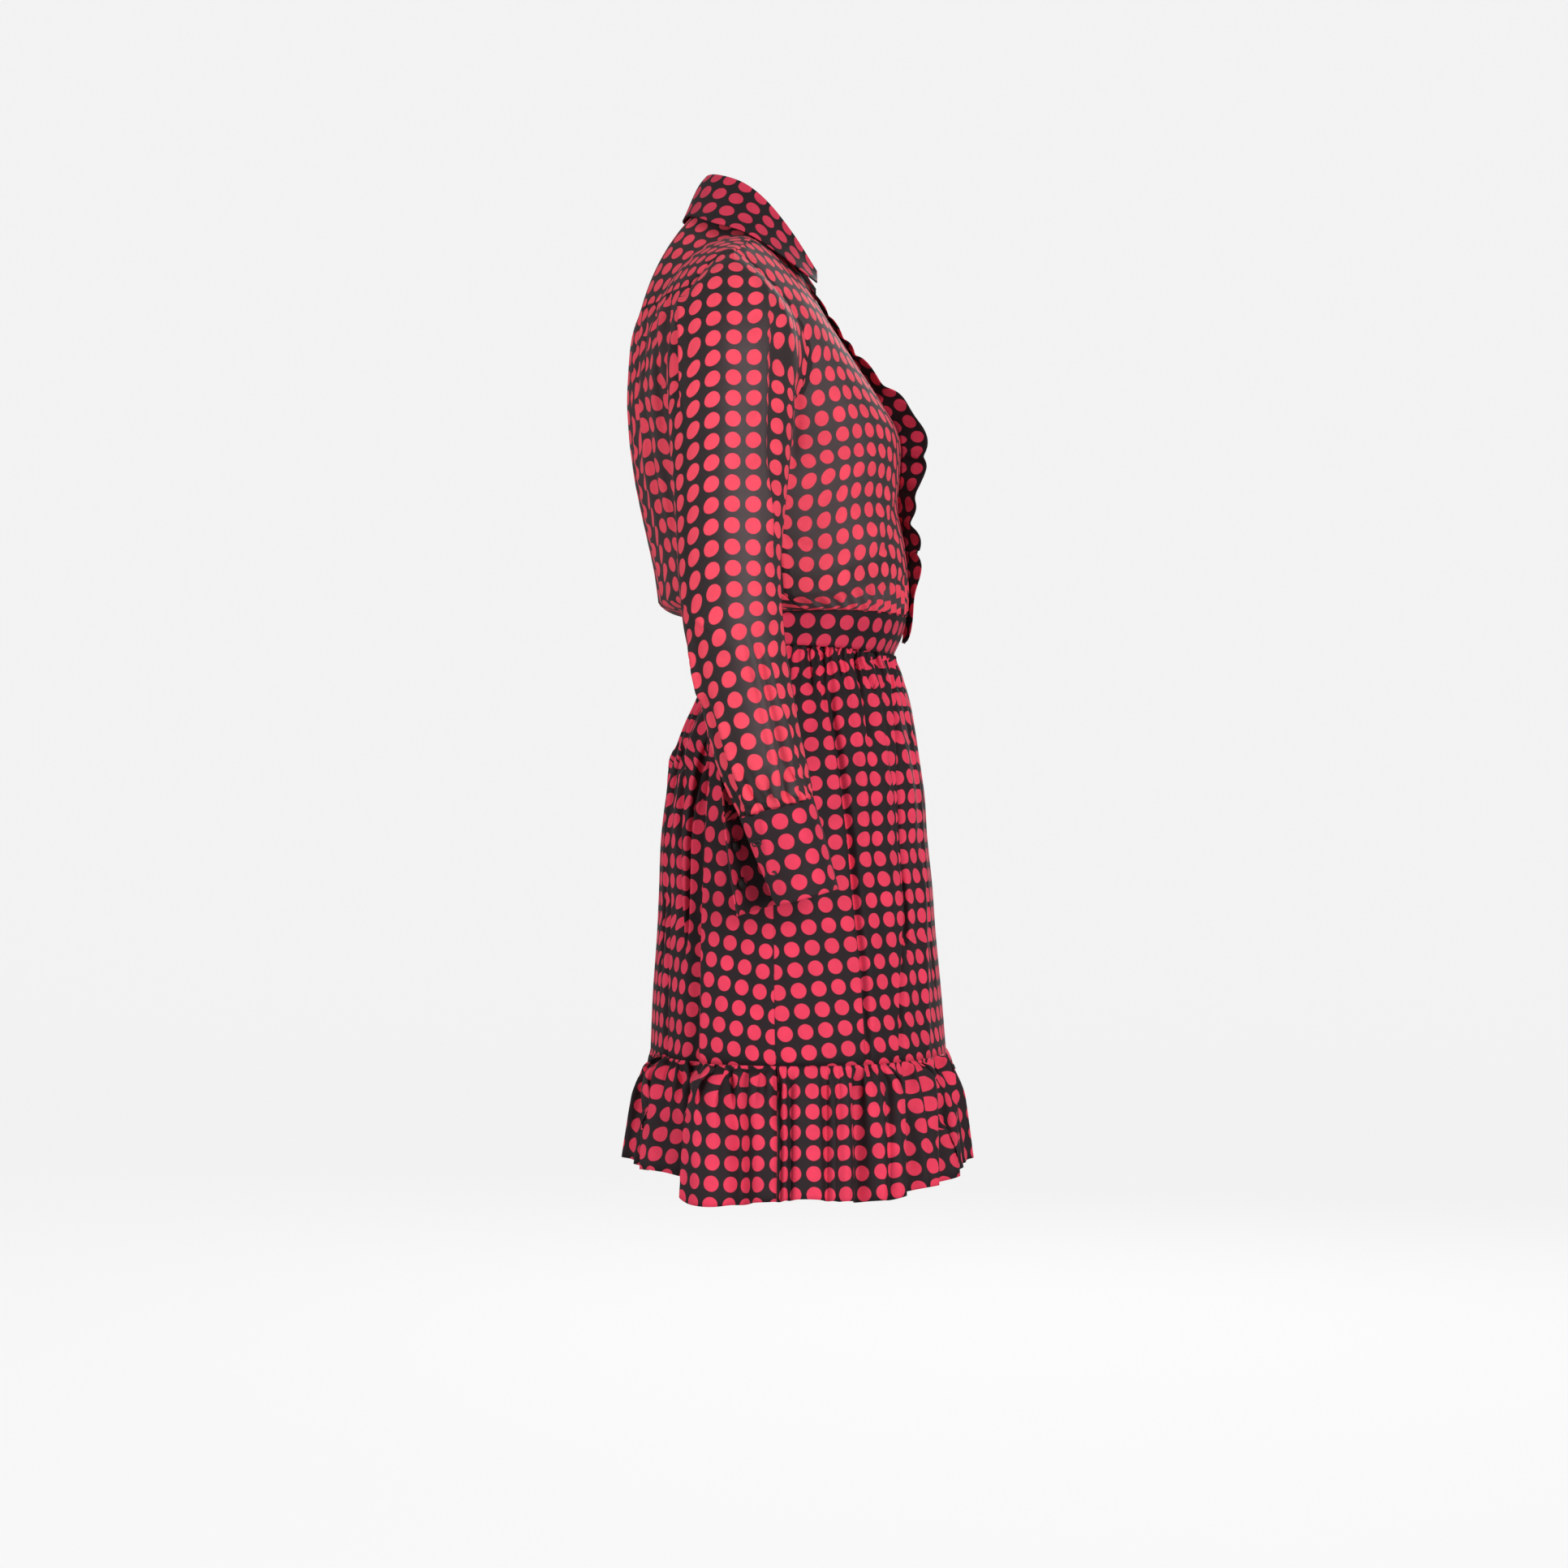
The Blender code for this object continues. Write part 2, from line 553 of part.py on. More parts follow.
def neck_edge(shares):
    """The left half of the edge that the collar is sewn to, from the centre back to the front."""
    x = NECK_SIDE_X * np.sin(np.linspace(0, math.pi / 2, 40))
    behind = over_shoulder(across_at(x), yoke_top_cloth(x))
    cloth = np.linspace(YOKE_OVER + 4 * SEAM_GAP, COLLAR_END_CLOTH, 40)
    whole = np.concatenate([behind, bodice(neck_angle(cloth), cloth)])
    steps = np.linalg.norm(np.diff(whole, axis=0), axis=1)
    travelled = np.concatenate([[0], np.cumsum(steps)]) / steps.sum()
    return np.stack([np.interp(shares, travelled, whole[:, k]) for k in range(3)], axis=-1)


def collar_grid(columns, rows):
    """The collar: up from the neckline, over the fold and down to its outer edge."""
    across = np.linspace(1, -1, columns)
    share, side = np.abs(across), np.sign(across)
    read = {
        name: smooth_through(COLLAR["share"], COLLAR[name], share, level_start=not name.endswith("_x"))
        for name in COLLAR
    }
    foot = neck_edge(share) * np.stack([side, np.ones(columns), np.ones(columns)], axis=-1)
    fold = place(side * read["fold_x"], read["fold_front"], read["fold_drop"])
    edge = place(side * read["edge_x"], read["edge_front"], read["edge_drop"])
    flat = np.array([1.0, 1.0, 0.0])
    out = unit((edge - fold) * flat)
    foot = foot + place(0, 0, -COLLAR_LIFT) - unit(foot * flat) * COLLAR_LIFT
    lower = place(0, 0, COLLAR_ROLL)
    controls = np.array(
        [
            foot,
            fold - out * COLLAR_ROLL * 0.6 + lower,
            fold + out * COLLAR_ROLL * 0.5,
            fold + out * COLLAR_ROLL * 1.6 + lower,
            edge,
        ]
    )
    keys = np.array([0.0, 0.36, 0.42, 0.48, 1.0])
    down = np.interp(np.linspace(0, 1, rows), [0, 0.3, 0.45, 0.6, 1], keys)
    return smooth_through(keys, controls, down)[:, ::-1]


def ruffle_grid(is_left, columns, rows):
    """A ruffle on one front edge, from the collar to the waistband."""
    cloth = np.linspace(RUFFLE["cloth"][0], RUFFLE["cloth"][-1], columns)
    angle = np.hypot(neck_angle(cloth), angle_at(RUFFLE_BASE_X))
    kept = np.minimum(cloth, RUFFLE_TAIL_START)
    base = bodice(angle, kept)
    across = unit(bodice(angle + 0.04, kept) - base)
    out = unit(np.cross(bodice(angle, kept + 0.004) - base, across))
    tail = ease((cloth - RUFFLE_TAIL_START) / (cloth[-1] - RUFFLE_TAIL_START))[:, None]
    tail_end = place(base[:, 0], RUFFLE_TAIL_FRONT, RUFFLE_TAIL_DROP)
    tail = np.concatenate([tail, tail**RUFFLE_TAIL_LATENESS, tail], axis=1)
    base = base + (tail_end - base) * tail + out * RUFFLE_OFF_CLOTH
    stand = smooth_through(RUFFLE["cloth"], RUFFLE["stand"], cloth)[:, None]
    lean = smooth_through(RUFFLE["cloth"], RUFFLE["lean"], cloth)[:, None]
    reach = out * stand + across * lean
    sideways = unit(np.cross(reach, np.gradient(base, axis=0)))
    phase = 2 * math.pi * RUFFLE_WAVES * (cloth - cloth[0]) / (cloth[-1] - cloth[0])
    phase = phase + 0.9 * np.sin(phase / 5)
    share = np.linspace(0, 1, rows)[None, :, None]
    depth = smooth_through(RUFFLE["cloth"], RUFFLE["wave"], cloth)
    wave = share**0.8 * (depth * np.sin(phase))[:, None, None]
    points = base[:, None] + reach[:, None] * share + sideways[:, None] * wave
    points[..., 0] = np.maximum(points[..., 0], RUFFLE_LEAST_X)
    return points if is_left else mirrored(points)


def mirrored(points):
    """The same sheet on the wearer's right, still facing outwards."""
    other = points[:, ::-1].copy()
    other[..., 0] *= -1
    return other


def cloth_material(name, look):
    """A Principled BSDF with the piece's colour and roughness."""
    colour, roughness = look
    material = bpy.data.materials.new(name)
    material.use_nodes = True
    shader = material.node_tree.nodes["Principled BSDF"]
    shader.inputs["Base Color"].default_value = colour
    shader.inputs["Roughness"].default_value = roughness
    shader.inputs["Metallic"].default_value = 0.0
    return material


def add_piece(name, shape, look):
    """An object from a bmesh, in the scene and with its own material."""
    mesh = bpy.data.meshes.new(name)
    shape.to_mesh(mesh)
    shape.free()
    mesh.shade_smooth()
    mesh.materials.append(cloth_material(name, look))
    piece = bpy.data.objects.new(name, mesh)
    bpy.context.collection.objects.link(piece)
    return piece


def cloth_piece(name, points, look, closed=False, wall=WALL):
    """A cloth wall whose outer face passes through the grid of points."""
    columns = points.shape[1]
    shape = bmesh.new()
    vertices = [[shape.verts.new(point) for point in line] for line in points.tolist()]
    for upper, lower in zip(vertices, vertices[1:]):
        for j in range(columns if closed else columns - 1):
            k = (j + 1) % columns
            shape.faces.new((upper[j], lower[j], lower[k], upper[k]))
    bmesh.ops.remove_doubles(shape, verts=shape.verts, dist=MERGE)
    piece = add_piece(name, shape, look)
    solid = piece.modifiers.new("wall", "SOLIDIFY")
    solid.thickness = wall
    solid.offset = -1
    return piece


def waistband(columns, rows):
    """The band between bodice and skirt, one ring."""
    angle = np.linspace(0, 2 * math.pi, columns + 1)[None, :-1]
    top = WAIST_TOP_DROP + WAIST_TOP_TILT * np.cos(angle)
    bottom = WAIST_BOTTOM_DROP + WAIST_BOTTOM_TILT * np.cos(angle)
    drop = top + (bottom - top) * np.linspace(0, 1, rows)[:, None]
    x, ahead = ring(SKIRT, SKIRT_SQUARENESS, angle, drop)
    cloth_piece("waistband", place(x, ahead, drop), CLOTH_OPAQUE, closed=True, wall=BAND_WALL)


def cuff_button(name, share, is_left):
    """A small covered dome on the outside of the underlap."""
    at = cuff_grid(share, BUTTON_PLACE)
    beside = cuff_grid(share, BUTTON_PLACE - 0.02) - at
    below = cuff_grid(share + 0.05, BUTTON_PLACE) - at
    out = unit(np.cross(beside, below))
    side = np.array([1.0 if is_left else -1.0, 1.0, 1.0])
    shape = bmesh.new()
    bmesh.ops.create_uvsphere(shape, u_segments=12, v_segments=6, radius=BUTTON_RADIUS)
    whole = shape.verts[:] + shape.edges[:] + shape.faces[:]
    bmesh.ops.bisect_plane(shape, geom=whole, plane_co=(0, 0, 0), plane_no=(0, 0, -1), clear_outer=True)
    bmesh.ops.holes_fill(shape, edges=[edge for edge in shape.edges if edge.is_boundary])
    bmesh.ops.scale(shape, vec=(1, 1, BUTTON_HEIGHT / BUTTON_RADIUS), verts=shape.verts)
    piece = add_piece(name, shape, CLOTH_OPAQUE)
    piece.location = (at + out * BUTTON_SHANK) * side
    piece.rotation_mode = "QUATERNION"
    piece.rotation_quaternion = Vector(out * side).to_track_quat("Z", "Y")


def build():
    """All the pieces of the dress."""
    for old in list(bpy.data.objects):
        bpy.data.objects.remove(old)
    cloth_piece("collar", collar_grid(31, 8), CLOTH_OPAQUE)
    cloth_piece("back_yoke", yoke_panel(29, 8), CLOTH_SHEER)
    cloth_piece("back_bodice", back_panel(45, 9), CLOTH_SHEER)
    cloth_piece("front_right", front_panel(False, 12, 16), CLOTH_SHEER)
    cloth_piece("front_left", front_panel(True, 12, 16), CLOTH_SHEER)
    sleeve = sleeve_grid(29, 11)
    cloth_piece("sleeve_left", sleeve, CLOTH_SHEER)
    cloth_piece("sleeve_right", mirrored(sleeve), CLOTH_SHEER)
    cuff = cuff_grid(np.linspace(0, 1, 4)[:, None], np.linspace(0, 1, 21)[None, :])
    cloth_piece("cuff_left", cuff, CLOTH_OPAQUE, wall=BAND_WALL)
    cloth_piece("cuff_right", mirrored(cuff), CLOTH_OPAQUE, wall=BAND_WALL)
    for number, share in enumerate(BUTTON_SHARES, 1):
        cuff_button(f"cuff_button_left_{number}", share, True)
        cuff_button(f"cuff_button_right_{number}", share, False)
    cloth_piece("ruffle_right", ruffle_grid(False, 68, 3), CLOTH_OPAQUE)
    cloth_piece("ruffle_left", ruffle_grid(True, 68, 3), CLOTH_OPAQUE)
    waistband(48, 3)
    cloth_piece("skirt_front", skirt_panel(True, 58, 6), CLOTH_OPAQUE)
    cloth_piece("skirt_back", skirt_panel(False, 52, 6), CLOTH_OPAQUE)
    cloth_piece("flounce_front", flounce_panel(True, 79), CLOTH_OPAQUE)
    cloth_piece("flounce_back", flounce_panel(False, 70), CLOTH_OPAQUE)


build()
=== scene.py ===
# %% [markdown]
# # A polka dot shirt dress in sheer silk crepe
#
# This lesson dresses the plain walls of a CAD model in printed cloth. The dress is hollow and keeps
# the form it has when it is worn: a blouson bodice with a yoke, a deep V with ruffles, long sleeves
# with open cuffs, a waistband, an A-line skirt and a gathered flounce.
#
# Cloth like this could be draped by simulation, but its folds would then fall where they like. Here
# each piece is a fine grid laid on the same surface as its CAD wall, with its folds placed one by
# one, so the render stays true to the model's sizes.

# %% Load the imported model
import math

import bmesh
import bpy
import numpy as np
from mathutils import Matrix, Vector


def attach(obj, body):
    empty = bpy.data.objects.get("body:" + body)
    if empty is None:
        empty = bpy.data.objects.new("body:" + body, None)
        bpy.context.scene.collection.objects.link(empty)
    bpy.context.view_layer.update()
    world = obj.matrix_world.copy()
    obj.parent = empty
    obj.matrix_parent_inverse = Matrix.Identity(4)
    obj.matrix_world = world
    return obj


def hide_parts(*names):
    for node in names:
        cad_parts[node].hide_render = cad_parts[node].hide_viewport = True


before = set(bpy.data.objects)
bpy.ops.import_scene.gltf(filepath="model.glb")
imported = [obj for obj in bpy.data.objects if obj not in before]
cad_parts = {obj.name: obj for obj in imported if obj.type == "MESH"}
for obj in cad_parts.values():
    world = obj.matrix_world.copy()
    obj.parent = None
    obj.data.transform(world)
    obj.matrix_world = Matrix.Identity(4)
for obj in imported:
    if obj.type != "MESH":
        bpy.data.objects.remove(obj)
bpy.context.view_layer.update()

print("CAD nodes:", len(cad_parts))

# %% [markdown]
# ## Camera
#
# The dress is seen from the wearer's right, level with its middle. A long lens from 2.9 m keeps the
# near sleeve only a little larger than what lies behind it. The frame is square, so one sensor
# width sets both its sides.

# %% Camera on the wearer's right
CAMERA_AWAY = 2.9
CAMERA_PLACE = (-CAMERA_AWAY, -0.0266, -0.4928)
FRAME_WIDTH_AT_DRESS = 1.4297

lens = bpy.data.cameras.new("camera")
lens.sensor_width = 36.0
lens.lens = lens.sensor_width * CAMERA_AWAY / FRAME_WIDTH_AT_DRESS
camera = bpy.data.objects.new("camera", lens)
camera.location = CAMERA_PLACE
camera.rotation_euler = (math.pi / 2, 0.0, -math.pi / 2)
bpy.context.scene.collection.objects.link(camera)
bpy.context.scene.camera = camera
bpy.context.scene.view_settings.view_transform = "Standard"
print(f"lens {lens.lens:.1f} mm")

# %% [markdown]
# ## Colours and nodes
#
# Colours are picked as sRGB hex values, as a dye chart gives them. Shaders work in linear light, so
# one function converts them. One more function adds a shader node with its settings and links.

# %% Colour and node helpers
def linear(hex_colour):
    """The linear RGBA of an sRGB hex colour."""
    parts = [int(hex_colour[i:i + 2], 16) / 255 for i in (1, 3, 5)]
    parts = [c / 12.92 if c <= 0.04045 else ((c + 0.055) / 1.055) ** 2.4 for c in parts]
    return (*parts, 1.0)


def add_node(material, kind, settings=None, values=None, links=None):
    """A node of that kind: its settings by name, its sockets' values, and what its sockets read."""
    node = material.node_tree.nodes.new(kind)
    for name, value in (settings or {}).items():
        setattr(node, name, value)
    for socket, value in (values or {}).items():
        node.inputs[socket].default_value = value
    for socket, source in (links or {}).items():
        material.node_tree.links.new(source, node.inputs[socket])
    return node


def new_material(name):
    """A material with one Principled BSDF."""
    material = bpy.data.materials.new(name)
    material.use_nodes = True
    return material, material.node_tree.nodes["Principled BSDF"]


def wire(material, source, shader, socket):
    """A link from a node's output to the shader."""
    material.node_tree.links.new(source, shader.inputs[socket])


def set_sockets(shader, values):
    """The shader's own constants."""
    for socket, value in values.items():
        shader.inputs[socket].default_value = value


def colour_mix(material, values, links, blend="MIX"):
    """Two colours mixed: socket 0 is the share, and 6 and 7 are the colours."""
    settings = {"data_type": "RGBA", "blend_type": blend}
    return add_node(material, "ShaderNodeMix", settings, values, links).outputs[2]


def soft_step(material, start, end, value):
    """0 where the value is at its start, 1 at its end."""
    return add_node(
        material, "ShaderNodeMapRange", {"interpolation_type": "SMOOTHSTEP"},
        {"From Min": start, "From Max": end}, {"Value": value},
    ).outputs[0]


def relief(material, height, strength, depth):
    """The normal of a relief so deep."""
    values = {"Strength": strength, "Distance": depth}
    return add_node(material, "ShaderNodeBump", {}, values, {"Height": height}).outputs[0]


print("helpers ready")

# %% [markdown]
# ## The printed silk crepe
#
# The dots stand on a square grid along the grain of each piece. They are drawn by a formula from the
# piece's own UV map, which holds its cut shape in metres: the share of a pitch that is left over
# after counting whole dots gives the distance to the nearest dot's middle. The dye bleeds a little
# into the weave, so the edge of each dot is soft and slightly uneven.

# %% The print
DOT_PITCH, DOT_WIDTH, DOT_BLEED = 0.0176, 0.0132, 0.0004
DOT_WAVER, DOT_WAVER_SIZE = 0.0004, 0.006


def flat_noise(material, cut, size, detail, roughness=0.5):
    """Noise on the flat cut, with its features in a real size."""
    values = {"Scale": 1 / size, "Detail": detail, "Roughness": roughness}
    return add_node(
        material, "ShaderNodeTexNoise", {"noise_dimensions": "2D"}, values, {"Vector": cut},
    ).outputs


def vector_step(material, operation, values, links):
    """One step of arithmetic on vectors."""
    return add_node(material, "ShaderNodeVectorMath", {"operation": operation}, values, links).outputs


def inside_dots(material, cut):
    """1 inside the printed dots, 0 between them."""
    noise = flat_noise(material, cut, DOT_WAVER_SIZE, 2.0)["Color"]
    shift = vector_step(material, "SUBTRACT", {1: (0.5, 0.5, 0.5)}, {0: noise})[0]
    waver = {1: (DOT_WAVER, DOT_WAVER, 0.0)}
    moved = vector_step(material, "MULTIPLY_ADD", waver, {0: shift, 2: cut})[0]
    counted = vector_step(material, "SCALE", {"Scale": 1 / DOT_PITCH}, {0: moved})[0]
    left_over = vector_step(material, "FRACTION", {}, {0: counted})[0]
    from_middle = vector_step(material, "DISTANCE", {1: (0.5, 0.5, 0.0)}, {0: left_over})["Value"]
    radius, bleed = DOT_WIDTH / DOT_PITCH / 2, DOT_BLEED / DOT_PITCH
    return soft_step(material, radius + bleed, radius - bleed, from_middle)


print(f"dots {DOT_WIDTH * 1000:.1f} mm wide, {DOT_PITCH * 1000:.1f} mm apart")

# %% [markdown]
# Silk crepe is woven from hard twisted yarn, which gives it a dry, pebbled face and little shine.
# Its yarns lie 0.25 mm apart, too fine to show, so their pebble is drawn coarser, at 2 mm. Crepe
# also shrinks a little unevenly when it is washed after weaving. Two sets of soft waves that cross
# as warp and weft do stand for that, 7 mm apart.

# %% The crepe's face
PUCKER_SPACING, PUCKER_WAVER, PUCKER_SHARE, PEBBLE = 0.0069115, 1.2, 0.45, 0.0021


def crepe_face(material, cut):
    """The normals of the cloth's face."""
    waves = [
        add_node(
            material, "ShaderNodeTexWave", {"bands_direction": direction, "wave_profile": "SIN"},
            {"Scale": math.pi / (10 * PUCKER_SPACING), "Distortion": PUCKER_WAVER, "Detail": 1.0},
            {"Vector": cut},
        ).outputs["Fac"]
        for direction in ("X", "Y")
    ]
    pebbled = flat_noise(material, cut, PEBBLE, 3.0, 0.6)["Fac"]
    puckers = add_node(
        material, "ShaderNodeMath", {"operation": "MULTIPLY"}, {}, {0: waves[0], 1: waves[1]},
    ).outputs[0]
    face = add_node(
        material, "ShaderNodeMath", {"operation": "MULTIPLY_ADD"}, {1: PUCKER_SHARE},
        {0: puckers, 2: pebbled},
    ).outputs[0]
    return relief(material, face, 0.35, 0.0004)


print(f"pebble {PEBBLE * 1000:.1f} mm")

# %% [markdown]
# The cloth is sheer. The light that shows through one layer with room behind it is painted into
# the ground as a grey-brown; where the cloth lies double, in seams and deep folds, less is painted
# and it looks black. Each piece stores this painted light as an attribute from 0 to 1, which the
# ground's colour follows. On the sheer pieces it also paints lighter bands and darker shade.
#
# Three crepes come of this one recipe. All are woven, washed and then screen printed, and their
# dots are one print painted at three levels of light. The sheer one is for the bodice and the
# sleeves, and its dots are painted lit. The doubled one lies folded in the collar, the waistband
# and the ruffles, and its dots are painted in shade. The third is for the skirt, the flounce and
# the cuffs, which let less light through; its dots lie between the two.

# %% Three crepes
DYE_PATCH = 0.03


def printed_crepe(name, ground, lit_through_ground, dot, alpha):
    """Crepe in a colour for doubled cloth, one of painted light showing through one layer, and one for the dots."""
    material, shader = new_material(name)
    cut = add_node(material, "ShaderNodeUVMap", {"uv_map": "cut"}).outputs[0]
    light_through = add_node(material, "ShaderNodeAttribute", {"attribute_name": "light_through"}).outputs["Fac"]
    # Painted light: the ground turns lighter as the attribute of light showing through the cloth rises.
    ground_with_light_through = colour_mix(material, {6: linear(ground), 7: linear(lit_through_ground)}, {0: light_through})
    dyed = colour_mix(material, {7: linear(dot)}, {0: inside_dots(material, cut), 6: ground_with_light_through})
    patchy = flat_noise(material, cut, DYE_PATCH, 5.0, 0.65)["Fac"]
    depth_of_dye = add_node(
        material, "ShaderNodeMapRange", {},
        {"From Min": 0.3, "From Max": 0.7, "To Min": 0.88, "To Max": 1.06}, {"Value": patchy},
    ).outputs[0]
    shade = colour_mix(material, {0: 1.0}, {6: dyed, 7: depth_of_dye}, "MULTIPLY")
    wire(material, shade, shader, "Base Color")
    wire(material, crepe_face(material, cut), shader, "Normal")
    set_sockets(shader, {
        "Roughness": 0.72, "Specular IOR Level": 0.18, "Sheen Weight": 0.06, "Sheen Roughness": 0.4,
        "Sheen Tint": linear("#e8c9cc"), "Alpha": alpha,
    })
    return material


# One print at three levels of painted light: lit dots on the sheer pieces, shaded dots on the doubled ones, the
# skirt's between.
lit_sheer_crepe = printed_crepe("sheer silk crepe in painted light", "#211719", "#54474a", "#f54c62", 0.90)
shaded_doubled_crepe = printed_crepe("doubled silk crepe in painted shade", "#1c1115", "#2c2024", "#cc3450", 1.0)
skirt_crepe = printed_crepe("skirt silk crepe", "#1d1216", "#33272b", "#e23b59", 1.0)
print("crepes:", lit_sheer_crepe.name, shaded_doubled_crepe.name, skirt_crepe.name)

# %% [markdown]
# ## Curves through measured sizes
#
# A dress is measured at a few levels, and the cloth runs smoothly between them. Each table below has
# one row for a level and named columns. A cubic curve reads it anywhere, in the manner of a
# flexible ruler held on the marks.

# %% Tables and smooth curves
def table(columns, rows):
    """The rows as one array for each named column."""
    return dict(zip(columns.split(), np.array(rows, float).T))


def smooth_through(keys, values, at, level_start=False):
    """A smooth curve through the values at the keys, read at each place. It can set off level."""
    at = np.clip(np.asarray(at, float), keys[0], keys[-1])
    slopes = np.gradient(values, keys, axis=0)
    if level_start:
        slopes[0] = 0
    i = np.clip(np.searchsorted(keys, at, side="right") - 1, 0, len(keys) - 2)
    step = keys[i + 1] - keys[i]
    t = (at - keys[i]) / step
    spread = at.shape + (1,) * (np.ndim(values) - 1)
    step, t = step.reshape(spread), t.reshape(spread)
    return (
        (1 + 2 * t) * (1 - t) ** 2 * values[i]
        + t * (1 - t) ** 2 * step * slopes[i]
        + t * t * (3 - 2 * t) * values[i + 1]
        + t * t * (t - 1) * step * slopes[i + 1]
    )


print("a curve through 0, 1, 4 at 1.5:", smooth_through(np.arange(3.0), np.array([0.0, 1.0, 4.0]), 1.5))

# %% [markdown]
# Some small helpers return throughout: a soft step, vectors at length one, points from a distance
# ahead and a drop, and a ring round the body that is a little squarer than an oval.

# %% Soft steps, points and rings
def ease(t):
    """0 to 1 with a soft start and a soft end."""
    t = np.clip(t, 0, 1)
    return t * t * (3 - 2 * t)


def unit(vectors):
    """The vectors at length one."""
    return vectors / np.maximum(np.linalg.norm(vectors, axis=-1, keepdims=True), 1e-9)


def place(x, front, drop):
    """Points from X, distance ahead and drop."""
    return np.stack(np.broadcast_arrays(x, -np.asarray(front), -np.asarray(drop)), axis=-1)


def rounded(value, squareness):
    """A sine or cosine bent so that a circle becomes a squarer ring."""
    return np.sign(value) * np.abs(value) ** (2 / squareness)


def ring(sections, squareness, angle, drop):
    """X and distance ahead round the body: angle 0 is the centre front, and it runs to the left."""
    front = smooth_through(sections["drop"], sections["front"], drop)
    back = smooth_through(sections["drop"], sections["back"], drop)
    half = smooth_through(sections["drop"], sections["half"], drop)
    x = half * rounded(np.sin(angle), squareness)
    return x, (front + back) / 2 + (front - back) / 2 * rounded(np.cos(angle), squareness)


print("a point 10 mm ahead and 20 mm down:", place(0.0, 0.01, 0.02))

# %% [markdown]
# Gathers are never even, so their phase hurries and lags round the body. They push the cloth away
# from the upright line through the body's middle. A grid's own normals serve where the cloth lies
# any other way.

# %% Gathers and normals
BODY_MIDDLE_AHEAD = 0.035


def uneven(angle, count, seed):
    """The phase of so many folds round the body, closer together here and further apart there."""
    return count * angle + 0.9 * np.sin(2 * angle + seed) + 0.7 * np.sin(5 * angle + 2.3 * seed)


def pushed(points, amount):
    """Points moved away from the upright line through the body's middle."""
    middle = place(0.0, BODY_MIDDLE_AHEAD, 0.0)
    away = unit((points - middle) * np.array([1.0, 1.0, 0.0]))
    return points + away * np.asarray(amount)[..., None]


def normals_of(points):
    """Unit normals of a grid of points, on its outer side."""
    return unit(np.cross(np.gradient(points, axis=0), np.gradient(points, axis=1)))


print("the first of 5 gathers starts at", uneven(0.0, 5, 0.4).round(2))

# %% [markdown]
# ## From a grid to a piece of cloth
#
# A piece of cloth is a flat grid first, as it comes off the loom, and is then laid on its surface.
# Its UV map keeps the flat, cut shape: how far along the grain and across it each point lies. That is
# measured on the laid cloth, so dots stay round on it and close up where it folds. Rows are measured
# before the folds are laid, so they run straight on, and columns after, so folds take up cloth.

# %% Measuring the cloth
CLOTH_WALL, SEAM_WIDTH = 0.0005, 0.006


def travelled(points, axis):
    """Cloth length along each line of a grid, from its start."""
    steps = np.linalg.norm(np.diff(points, axis=axis), axis=-1)
    start = np.zeros_like(np.take(steps, [0], axis=axis))
    return np.concatenate([start, np.cumsum(steps, axis=axis)], axis=axis)


def across_grain(points, down, start=0.0, middle=0):
    """How far across the grain each point lies from the column called middle, given how far down."""
    steps = np.linalg.norm(np.diff(points, axis=1), axis=-1)
    sideways = np.sqrt(np.maximum(steps**2 - np.diff(down, axis=1) ** 2, 0))
    along = np.concatenate([np.zeros_like(sideways[:, :1]), np.cumsum(sideways, axis=1)], axis=1)
    return along - along[:, middle:middle + 1] + start


def along_levels(points, level, middle):
    """Cloth length along each level line, from the column called middle."""
    fine = np.linspace(level.min(), level.max(), 300)
    columns = range(points.shape[1])
    lines = np.stack([
        np.stack([np.interp(fine, level[:, j], points[:, j, k]) for k in range(3)], axis=-1)
        for j in columns
    ], axis=1)
    along = travelled(lines, 1)
    along = along - along[:, middle:middle + 1]
    return np.stack([np.interp(level[:, j], fine, along[:, j]) for j in columns], axis=-1)


print("three points 1 m apart:", travelled(place(np.arange(3.0), 0, 0)[:, None], 0)[:, 0])

# %% [markdown]
# Folds are charted as they look, from the side or from the front, so one chart serves both sides of
# the dress. The cloth is pushed out or in along its normal, most on the crest and less with the
# distance from it. A leaning crest falls over what lies beyond it, which hides a strip of dots.

# %% Folds laid one by one
EDGE_ON, FOLD_FADE, FAR = 0.35, 0.22, 9.0


def folded(points, folds, view="side"):
    """The sheet with the listed folds, charted as they look from the side or from the front.

    A fold is the line on which its crest shows, in mm ahead (or to the left) and down, its half
    width behind and beyond that line, its height, and how far the crest leans over for each mm.
    """
    axis, sense = (1, -1) if view == "side" else (0, 1)
    out = normals_of(points)
    across = unit(np.gradient(points, axis=1))
    onwards = sense * across * np.sign(across[..., axis:axis + 1])
    squarely = np.maximum(np.abs(out[..., 1 - axis]), EDGE_ON)
    seen = np.stack([sense * points[..., axis], -points[..., 2]], axis=-1)
    moved = points.copy()
    for line, half_width, height, lean in folds:
        line = (np.array(line) - [lean * height, 0]) / 1000
        behind, beyond = np.array(half_width) / 1000 * np.ones(2)
        away, along, side = near_line(seen, line)
        fade = ease(along / FOLD_FADE) * ease((1 - along) / FOLD_FADE)
        reach = away / squarely / np.where(side > 0, beyond, behind)
        amount = height / 1000 * fade * np.exp(-(reach**2))
        moved += (out + lean * onwards) * amount[..., None]
    return moved


